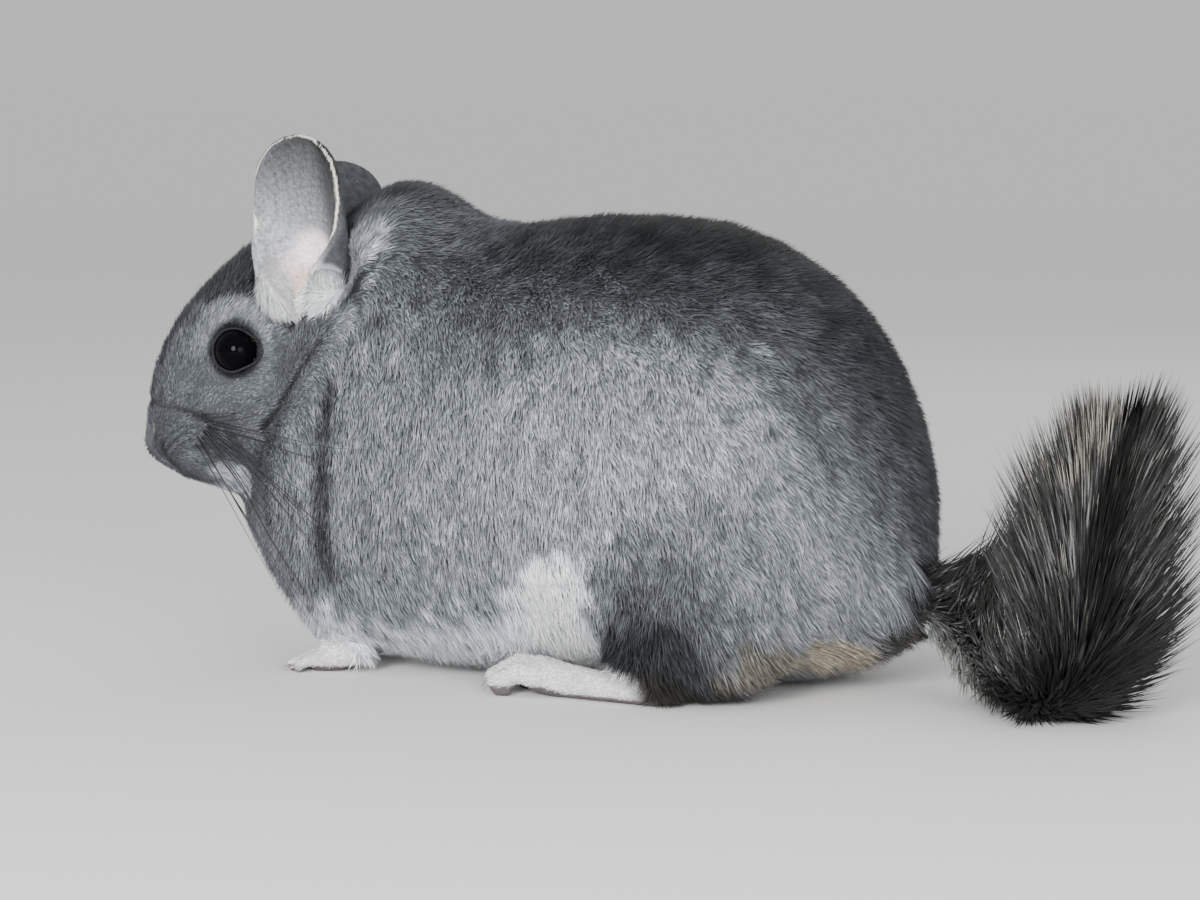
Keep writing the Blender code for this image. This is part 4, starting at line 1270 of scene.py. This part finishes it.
def ear_frame(side):
    """The ear's foot, the step to its top, the way it opens and the way to its rear edge."""
    foot, top = Vector(EAR_ROOT), Vector(EAR_TOP)
    look = math.radians(EAR_FACING)
    opening = Vector((-math.cos(look), -math.sin(look), 0))
    if side > 0:
        foot, top = foot + Vector(RIGHT_FOOT_SHIFT), top + Vector(RIGHT_TOP_SHIFT)
        foot, top, opening = (mirrored_side(v, -1) for v in (foot, top, opening))
    axis = (top - foot).normalized()
    opening = (opening - axis * opening.dot(axis)).normalized()
    rear = Vector((1, 0, 0))
    rear = (rear - axis * rear.dot(axis) - opening * rear.dot(opening)).normalized()
    return foot, top - foot, opening, rear


def ear_form(name, side, stations):
    foot, step, opening, rear = ear_frame(side)
    turn = head_turn()
    rings = []
    for share, half, back, front, shift in between(stations, EAR_RINGS):
        centre = foot + step * share + opening * ((front + back) / 2) + rear * shift
        ring = []
        for a in np.linspace(0, 2 * math.pi, EAR_SIDES, endpoint=False):
            c, s = math.cos(a), math.sin(a)
            c, s = (math.copysign(abs(v) ** EAR_SQUARENESS, v) for v in (c, s))
            ring.append(turn @ (centre + rear * (half * c) + opening * ((front - back) / 2 * s)))
        rings.append(ring)
    return lofted(name, rings)


def ear_reading(points, side):
    """Where places lie on the ear: share of its height, place across it (-1 front edge, 1 rear
    edge), and how many millimetres outside the rim of its hollow."""
    foot, step, _, rear = (np.array(v) for v in ear_frame(side))
    away = in_head_frame(points) - foot
    share, aside = away @ step / (step @ step), away @ rear
    body, hollow = np.array(EAR_BODY), np.array(EAR_HOLLOW)
    half, shift = (np.interp(share, body[:, 0], body[:, k]) for k in (1, 4))
    slit_half, slit_shift = (np.interp(share, hollow[:, 0], hollow[:, k]) for k in (1, 4))
    return share, (aside - shift) / half, np.abs(aside - slit_shift) - slit_half


def lobe_share(points, side):
    """1 on the ear's two round lobes and 0 off them."""
    foot, step, opening, rear = (np.array(v) for v in ear_frame(side))
    away, long = in_head_frame(points) - foot, np.linalg.norm(step)
    place = np.stack([away @ step / long, away @ rear, away @ opening], axis=1)
    spreads = []
    for share, aside, ahead, wide, deep, high in EAR_LOBES:
        middle, radii = np.array((share * long, aside, ahead)), np.array((high, wide, deep))
        spreads.append(np.linalg.norm((place - middle) / radii, axis=1))
    return 1 - smooth_step(1.05, 1.3, np.min(spreads, axis=0))


def lobe_level(share, across):
    """The share of the height, evened out between the lobes, as the rear one stands higher."""
    return share + 0.02 - 0.07 * smooth_step(-0.3, 0.4, across)


def ear_colour(points, normals, side):
    share, across, outer = ear_reading(points, side)
    opening = np.array(head_turn().to_3x3() @ ear_frame(side)[2])
    facing = normals @ opening
    velvet = np.interp(share, (0.3, 0.45, 0.6, 0.75, 0.9, 1.0), (0.36, 0.29, 0.20, 0.12, 0.065, 0.035))
    velvet *= 1 - 0.72 * smooth_step(0.1, 0.75, across) * smooth_step(0.3, 0.5, share)
    velvet *= 1 + 0.16 * waves(points, 1.7, 61)
    colour = velvet[:, None] * EAR_VELVET
    spread = np.hypot((share - 0.33) / 0.15, (across - 0.12) / 0.58)
    colour = mixed(colour, EAR_PINK, 1 - smooth_step(0.45, 1.15, spread))
    low = smooth_step(0.30, 0.22, share)
    colour = mixed(colour, EAR_LOBE, low * smooth_step(-0.8, 0.3, outer))
    colour = mixed(colour, EAR_PEACH, low * (1 - smooth_step(-0.9, -0.1, outer)))
    shade = np.interp(share, (0.12, 0.2, 0.27, 0.33, 0.4), (18, 11, 6, 3, 1.0))
    fold = smooth_step(0, 1.6, outer - shade) * (across > 0)
    dark = (0.045 + 0.05 * smooth_step(0.2, 0.0, share)) * (1 + 0.12 * waves(points, 3, 67))
    colour = mixed(colour, dark[:, None] * COOL, np.maximum(smooth_step(0.1, -0.25, facing), fold))
    level = lobe_level(share, across)
    furry = np.interp(level, (0.07, 0.15, 0.25, 0.36), (1.0, 0.74, 0.44, 0.26))[:, None] * EAR_LOBE
    colour = mixed(colour, furry, lobe_share(points, side) * smooth_step(-0.9, 0.1, outer))
    edge = (1 - smooth_step(0.12, 0.38, np.abs(outer - 0.25))) * smooth_step(0.4, 0.46, share)
    edge = np.maximum(edge, smooth_step(0.985, 0.995, share)) * (facing > -0.2)
    colour = mixed(colour, EAR_RIM, edge)
    return np.clip(colour, 0.004, 0.95)


def ear_lie(points, side):
    """Up the leaf, and on the lobes down and in towards the slit."""
    share, across, _ = ear_reading(points, side)
    turn = np.array(head_turn().to_3x3())
    _, step, _, rear = (np.array(v) for v in ear_frame(side))
    up, back = turn @ (step / np.linalg.norm(step)), turn @ rear
    low = smooth_step(0.34, 0.22, share)[:, None]
    inward = -up * 0.8 - back * np.sign(across)[:, None] * 0.7
    return up[None] * (1 - low) + inward * low


def lobe_form(side, share, aside, ahead, wide, deep, high):
    """One of the round furry lobes at the ear's foot."""
    stations = []
    for a in np.linspace(-1.35, 1.35, 9):
        round_, rise = math.cos(a), math.sin(a) * high / (Vector(EAR_TOP) - Vector(EAR_ROOT)).length
        stations.append((share + rise, wide * round_, ahead - deep * round_, ahead + deep * round_, aside))
    return ear_form("lobe", side, stations)


def add_ear(name, side, node):
    forms = [ear_form(name, side, EAR_BODY)] + [lobe_form(side, *lobe) for lobe in EAR_LOBES]
    ear = joined(name, forms)
    with_modifier(ear, "REMESH", mode="VOXEL", voxel_size=EAR_VOXEL * MM)
    hollow = ear_form("hollow", side, EAR_HOLLOW)
    with_modifier(ear, "BOOLEAN", object=hollow, operation="DIFFERENCE", solver="MANIFOLD")
    bpy.data.objects.remove(hollow)
    with_modifier(ear, "REMESH", mode="VOXEL", voxel_size=EAR_VOXEL * MM)
    set_coordinates(ear, averaged(coordinates(ear), edge_array(ear), EAR_ROUNDS))
    points, normals = coordinates(ear), vertex_normals(ear)
    colour_vertices(ear, ear_colour(points, normals, side))
    dressed(ear, fur)
    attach(ear, "root")
    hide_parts(node)
    draw = np.random.default_rng(71 + side)

    def weight(places):
        share, _, outer = ear_reading(places, side)
        low = smooth_step(0.3, 0.2, share)
        bare = low * (1 - smooth_step(-0.6, 0.2, outer))
        return (1 - bare) * (1 + 0.9 * low)

    roots, tilts = scattered(surface_of(ear), weight, EAR_TUFTS, draw)
    share, across, _ = ear_reading(roots, side)
    flow = turned_about(along_surface(ear_lie(roots, side), tilts), tilts, draw.normal(0, 0.2, EAR_TUFTS))
    low = smooth_step(0.34, 0.18, lobe_level(share, across))
    lengths = (1.0 + 3.0 * low) * draw.uniform(0.7, 1.3, EAR_TUFTS)
    widths = (0.36 + 0.16 * low) * draw.uniform(0.75, 1.25, EAR_TUFTS)
    leans = np.radians(draw.normal(22, 6, EAR_TUFTS))
    shapes = tuft_shapes(roots, tilts, flow, lengths, widths, leans)
    speckle = np.exp(draw.normal(0, 0.6 - 0.36 * low, EAR_TUFTS))
    base = ear_colour(roots, tilts, side) * speckle[:, None]
    colours = np.clip(np.stack([base * 0.8, base * 0.8, base * 0.9, base * 1.2], axis=1), 0.004, 0.95)
    tuft_piece(
        f"velvet_{name}", shapes, TUFT_FACES, tuft_normals(shapes, tilts), colours,
        round_map(across.clip(-3, 3), share), TUFT_MAP, fur,
    )


add_ear("ear_fine_left", -1, "ear_left")
add_ear("ear_fine_right", 1, "ear_right")

# The eyes are large, round, black and wet, a little domed in front. Thin dark lids hold them and run out
# to a corner behind.
EYE_RADIUS, EYE_YAW = 6.9, math.radians(78)
EYE_DOME, EYE_DOME_HALF = 0.03, 0.62
LID_RADIUS, LID_THICKNESS, LID_RINGS, LID_SIDES = 6.45, 0.45, 90, 12
WET_GRAIN = 1400


def eye_place(side):
    """Where the eye's own frame lies in the drawing. Its Z looks out."""
    look = Vector((-math.cos(EYE_YAW), side * math.sin(EYE_YAW), 0.1))
    turn = look.to_track_quat("Z", "Y").to_matrix().to_4x4()
    return head_turn() @ Matrix.Translation(mirrored_side(EYE_CENTRE, -side)) @ turn


def wet_material(name, colour, roughness, shine):
    """Dark wet tissue or bristle with a fine, slightly paler mottle."""
    pale = [min(1, c * 1.9) for c in colour[:3]] + [1]
    return mottled_material(name, colour, pale, WET_GRAIN, roughness, shine)


eye_black = wet_material("eye_black", (0.001, 0.001, 0.0014, 1), roughness=0.05, shine=0.035)
lid_skin = wet_material("lid_skin", (0.011, 0.010, 0.011, 1), roughness=0.55, shine=0.12)


def add_eye(name, side, node):
    eye, points = new_ball(EYE_RADIUS, 72, 44)
    eye.name = name
    tilt = np.arccos(np.clip(points[:, 2] / EYE_RADIUS, -1, 1))
    points *= (1 + EYE_DOME * np.exp(-((tilt / EYE_DOME_HALF) ** 4)))[:, None]
    turn = np.array(eye_place(side))
    set_coordinates(eye, points @ turn[:3, :3].T + turn[:3, 3])
    dressed(eye, eye_black)
    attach(eye, "root")
    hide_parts(node)


def lid_rings(side):
    """Rings round the rim of the lids, drawn out to a corner behind the eye."""
    turn = eye_place(side)
    rings = []
    for a in np.linspace(0, 2 * math.pi, LID_RINGS, endpoint=False):
        corner = max(0.0, math.cos(a + 0.06)) ** 6
        uneven = 1 + 0.012 * math.sin(3 * a + 0.7) + 0.008 * math.sin(7 * a)
        radius = LID_RADIUS * uneven * (1 + 0.32 * corner) * (1 - 0.04 * abs(math.sin(a)) ** 3)
        height = 0.46 * EYE_RADIUS - 1.0 * corner
        out = Vector((math.cos(a), math.sin(a), 0))
        centre = out * radius + Vector((0, 0, height))
        ring = []
        for b in np.linspace(0, 2 * math.pi, LID_SIDES, endpoint=False):
            lift = Vector((0, 0, 1.25 * LID_THICKNESS * math.sin(b)))
            ring.append(turn @ (centre + out * (LID_THICKNESS * math.cos(b)) + lift))
        rings.append(ring)
    return rings


def add_lids():
    points, faces = [], []
    for side in (-1, 1):
        rings = lid_rings(side)
        first = len(points)
        for i, ring in enumerate(rings):
            points += ring
            here, there = first + i * LID_SIDES, first + (i + 1) % LID_RINGS * LID_SIDES
            for j in range(LID_SIDES):
                k = (j + 1) % LID_SIDES
                faces.append((here + j, here + k, there + k, there + j))
    lids = outward(mesh_object("lids", points, faces))
    dressed(lids, lid_skin)
    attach(lids, "root")


add_eye("eye_fine_left", -1, "eye_left")
add_eye("eye_fine_right", 1, "eye_right")
add_lids()

# The whiskers are long black bristles from the pads beside the nose. They sweep out, back and down over
# the shoulder, the longest to the belly.
WHISKERS = (
    ((-92.2, -26.0, 73.1), (-72.2, -42.0, 75.8), (-60.9, -52.0, 78.1)),
    ((-90.1, -26.0, 71.4), (-54.4, -50.0, 67.6), (-37.7, -60.0, 64.8), (-23.4, -66.0, 63.5)),
    ((-90.7, -26.0, 70.3), (-64.8, -46.0, 60.6), (-41.4, -62.0, 50.4), (-18.8, -70.0, 39.0)),
    (
        (-91.3, -26.0, 69.7), (-66.3, -46.0, 57.8), (-44.4, -62.0, 42.1), (-26.0, -70.0, 25.6),
        (-10.5, -72.0, 9.5),
    ),
    ((-92.4, -25.0, 68.4), (-72.4, -42.0, 54.5), (-56.1, -54.0, 39.5), (-37.3, -62.0, 22.4)),
    ((-94.7, -24.0, 66.6), (-78.5, -38.0, 51.1), (-65.1, -46.0, 35.5), (-54.8, -50.0, 22.3)),
)
WHISKER_SPREAD = ((0, 0, 0), (-2.2, 0.6, 1.6), (-3.6, 1.0, -1.4), (1.2, -0.6, -2.2))
WHISKER_RADIUS, WHISKER_RINGS, WHISKER_SIDES = 0.2, 26, 5


def whisker_tube(places, radius):
    """The rings of a tapered bristle through some places."""
    rows = between([tuple(p) for p in places], WHISKER_RINGS)
    ahead = unit(np.gradient(rows, axis=0))
    across = unit(np.cross(ahead, np.array((0.1, 0.2, 1.0))))
    up = np.cross(across, ahead)
    share = np.linspace(0, 1, WHISKER_RINGS)
    thick = radius * (1 - 0.8 * share ** 1.4)
    turns = np.linspace(0, 2 * math.pi, WHISKER_SIDES, endpoint=False)
    ring = across[:, None] * np.cos(turns)[None, :, None] + up[:, None] * np.sin(turns)[None, :, None]
    return rows[:, None] + ring * thick[:, None, None]


def add_whiskers():
    draw = np.random.default_rng(83)
    points, faces = [], []
    for side in (-1, 1):
        for line in WHISKERS:
            for step in WHISKER_SPREAD:
                places = np.array(line, float)
                places += np.array(step) * np.array((0.5, 1, 0.6))
                fade = np.linspace(0, 1, len(places))[:, None] ** 1.5
                places += draw.normal(0, 5.0, 3) * np.array((1, 0.4, 1)) * fade
                reach = draw.uniform(0.6, 1.0)
                places[1:] = places[0] + (places[1:] - places[0]) * reach
                if side > 0:
                    still = in_head_frame(places) * np.array((1, -1, 1))
                    turn = np.array(head_turn())
                    places = still @ turn[:3, :3].T + turn[:3, 3]
                    places[:, 1] -= 0.22 * np.clip(places[:, 1] - 25, 0, None)
                rings = whisker_tube(places, WHISKER_RADIUS * draw.uniform(0.6, 1.0))
                first = len(points)
                points += list(rings.reshape(-1, 3))
                last = first + (WHISKER_RINGS - 1) * WHISKER_SIDES
                for ring in range(first, last, WHISKER_SIDES):
                    for j in range(WHISKER_SIDES):
                        a, b = ring + j, ring + (j + 1) % WHISKER_SIDES
                        faces.append((a, b, b + WHISKER_SIDES, a + WHISKER_SIDES))
                faces.append(tuple(first + j for j in reversed(range(WHISKER_SIDES))))
                faces.append(tuple(last + j for j in range(WHISKER_SIDES)))
    whiskers = outward(mesh_object("whiskers", points, faces))
    dressed(whiskers, wet_material("bristle", (0.012, 0.011, 0.011, 1), roughness=0.35, shine=0.3))
    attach(whiskers, "root")


add_whiskers()

# The tail's brush: long bristly hair that parts along a black line and fans out to both sides, close on
# the tail's root, standing straight out at the bend and upright at the tip, grey in the middle of
# each hair and cream at the tips above.
BRUSH_STARTS, BRUSH_HAIRS, BRUSH_PIECES, HAIR_STEPS = 0.04, 17500, 2, 3
BRUSH_RINGS, UNDERWOOL_SHARE, TIP_LOWEST = 400, 0.3, -2.5
PARTING, FAN_SIDE, HAIR_LIFT = (0.4, -0.9, 0), (0.97, 0.26, 0), 0.25
HAIR_ALONG = (0.0, 0.1, 0.2, 0.3, 0.45, 0.58, 0.7, 0.85, 1.0)
HAIR_LEAN = (16, 32, 50, 55, 60, 70, 54, 36, 22)
HAIR_LENGTH = (12, 24, 34, 34, 33, 36, 37, 36, 27)


def hair_lie(outs, along):
    """How far hairs lean off the tail's line, in degrees, and their length, by the side of the
    tail that they grow from."""
    parting = np.array(PARTING) / np.linalg.norm(PARTING)
    facing, aside = np.clip(outs @ parting, 0, None), outs @ np.array(FAN_SIDE)
    below = np.clip(-outs[:, 2], 0, None)
    lean = np.interp(along, HAIR_ALONG, HAIR_LEAN) * (1 + 0.12 * aside - 0.15 * facing)
    length = np.interp(along, HAIR_ALONG, HAIR_LENGTH) * (1 - 0.3 * facing**2)
    near, far = 0.2 * np.minimum(1, along / 0.4), 0.16 * smooth_step(0.4, 0.2, along)
    length *= 1 + np.where(aside > 0, near, far) * aside
    above = np.clip(outs[:, 2], 0, None) * smooth_step(0.4, 0.2, along)
    lean *= 1 + 0.8 * np.clip(-aside, 0, None) * smooth_step(0.6, 0.9, along)
    length *= 1 - 0.6 * below * (along < 0.62) + 0.45 * above
    return lean * (1 - 0.35 * below + 0.35 * above), length


def hair_rings(roots, headings, bends, flats, lengths, widths):
    """Three sides at some steps up each hair and a tip: (hair, point, 3)."""
    place, heading = roots.copy(), unit(headings)
    rings = []
    for k in range(HAIR_STEPS):
        share = k / HAIR_STEPS
        across = unit(flats - heading * (flats * heading).sum(axis=1)[:, None])
        normal = np.cross(heading, across)
        wide = (widths * (1 - share**2.2) * (0.8 + 0.7 * share))[:, None]
        for c, s in ((-0.5, -0.2), (0.5, -0.2), (0, 0.42)):
            rings.append(place + across * wide * c + normal * wide * s)
        place = place + heading * (lengths / HAIR_STEPS)[:, None]
        heading = unit(heading + bends / HAIR_STEPS)
    rings.append(place)
    return np.stack(rings, axis=1)


def hair_faces():
    faces = [(0, 2, 1)]
    for k in range(HAIR_STEPS - 1):
        for j in range(3):
            a, b = k * 3 + j, k * 3 + (j + 1) % 3
            faces += [(a, b, b + 3), (a, b + 3, a + 3)]
    last = 3 * HAIR_STEPS
    faces += [(last - 3 + j, last - 3 + (j + 1) % 3, last) for j in range(3)]
    return np.array(faces)


HAIR_MAP = np.array([((j - 1) / 2, k / HAIR_STEPS) for k in range(HAIR_STEPS) for j in range(3)] + [(0, 1.0)])


def hair_colours(outs, along, rise, draw):
    """Black at the root and along the parting, with painted shade under the bend, grey to white
    further out, dark again below the tip, and cream, brown or black at the tip."""
    count = len(outs)
    parting = np.array(PARTING) / np.linalg.norm(PARTING)
    aside = outs @ np.array(FAN_SIDE)
    low = smooth_step(0.42, 0.25, along)
    middle = 0.085 * np.exp(draw.normal(0, 0.6, count) + 0.15 * rise)
    middle *= np.where(draw.random(count) < 0.42 + 0.25 * low, 0.10, 1.0)
    under = low * smooth_step(0.35, -0.25, outs[:, 2])
    middle += (0.30 * np.exp(draw.normal(0, 0.25, count)) - middle) * under
    split = smooth_step(0.80, 0.97, outs @ parting) * smooth_step(0.25, 0.4, along)
    # Painted shade: the hairs under the tail's bend, facing the floor, go black like the parting.
    bend = smooth_step(0.24, 0.08, np.abs(along - 0.5)) * smooth_step(0.3, -0.3, outs[:, 2])
    black = np.maximum(split, bend)
    middle *= (1 - 0.95 * black) * (1 - 0.25 * low)
    high = smooth_step(0.35, -0.35, aside) * smooth_step(0.5, 1.0, rise)
    pale = draw.random(count) < 0.07 * (1 - low) + 0.6 * high
    tip = np.where(pale, 0.36, 0.03) * np.exp(draw.normal(0, 0.3, count)) * (1 - 0.85 * black)
    tip += (0.36 - tip) * under
    cream, cool = np.array((1.06, 1.0, 0.84)), np.array((0.97, 1.0, 1.05))
    fade = 0.75 - 0.45 * high
    root = 0.002 + 0.12 * under
    levels = (root, middle * 0.85, middle * (0.5 + 0.5 * fade))
    steps = [(level[:, None] + 0.002) * cool for level in levels for _ in range(3)]
    return np.clip(np.stack([*steps, tip[:, None] * cream], axis=1), 0.002, 0.8)


def add_brush():
    draw = np.random.default_rng(97)
    count = BRUSH_HAIRS
    centres, ahead, across, up, radii = tail_frames(BRUSH_RINGS)
    first = int(BRUSH_STARTS * BRUSH_RINGS)
    along = draw.random(count)
    frame = (first + along * (BRUSH_RINGS - 1 - first)).astype(int)
    angles = draw.uniform(0, 2 * math.pi, count)
    outs = across[frame] * np.cos(angles)[:, None] + up[frame] * np.sin(angles)[:, None]
    lean, length = hair_lie(outs, along)
    wave = waves(np.stack([along * 90, outs[:, 0] * 14, outs[:, 2] * 14], axis=1), 9, 101)
    lean = np.radians(lean + draw.normal(0, 5, count) + 3.5 * wave)
    inner = draw.random(count) < UNDERWOOL_SHARE
    length = length * draw.uniform(0.72, 1.08, count)
    ways = ahead[frame] * np.cos(lean)[:, None] + outs * np.sin(lean)[:, None]
    ways[:, 2] += HAIR_LIFT * np.maximum(smooth_step(0.1, 0.4, along), np.clip(outs[:, 2], 0, None))
    ways += draw.normal(0, 0.05, (count, 3))
    roots = centres[frame] + outs * (radii[frame] * 0.45)[:, None]
    bends = ahead[frame] * 0.2 + np.array((0, 0, 0.6)) * smooth_step(0.05, 0.5, along)[:, None]
    flats = np.cross(ahead[frame], outs)
    flats = turned_about(flats, unit(ways), draw.uniform(-1.2, 1.2, count))
    widths = np.where(inner, draw.uniform(0.9, 1.5, count), draw.uniform(0.3, 0.6, count))
    length = np.where(inner, length * 0.75, length)
    shapes = hair_rings(roots, ways, bends, flats, length, widths)
    keep = shapes[:, :, 2].min(axis=1) > TIP_LOWEST
    shapes, outs, along, frame, angles = (v[keep] for v in (shapes, outs, along, frame, angles))
    shapes[:, :, 2] = np.maximum(shapes[:, :, 2], TUFT_LOWEST)
    rise = np.clip((shapes[:, -1, 2] - 30) / 60, -1, 1)
    colours = hair_colours(outs, along, rise, draw)
    faces = hair_faces()
    order = np.argsort(frame, kind="stable")
    for k, part in enumerate(np.array_split(order, BRUSH_PIECES)):
        brush = tuft_piece(
            f"tail_brush_hair_{k + 1}", shapes[part], faces, tuft_normals(shapes[part], outs[part]),
            colours[part], round_map(angles[part] - math.pi, along[part]), HAIR_MAP, fur,
        )
        if k == 0:
            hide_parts("tail_brush")


add_brush()
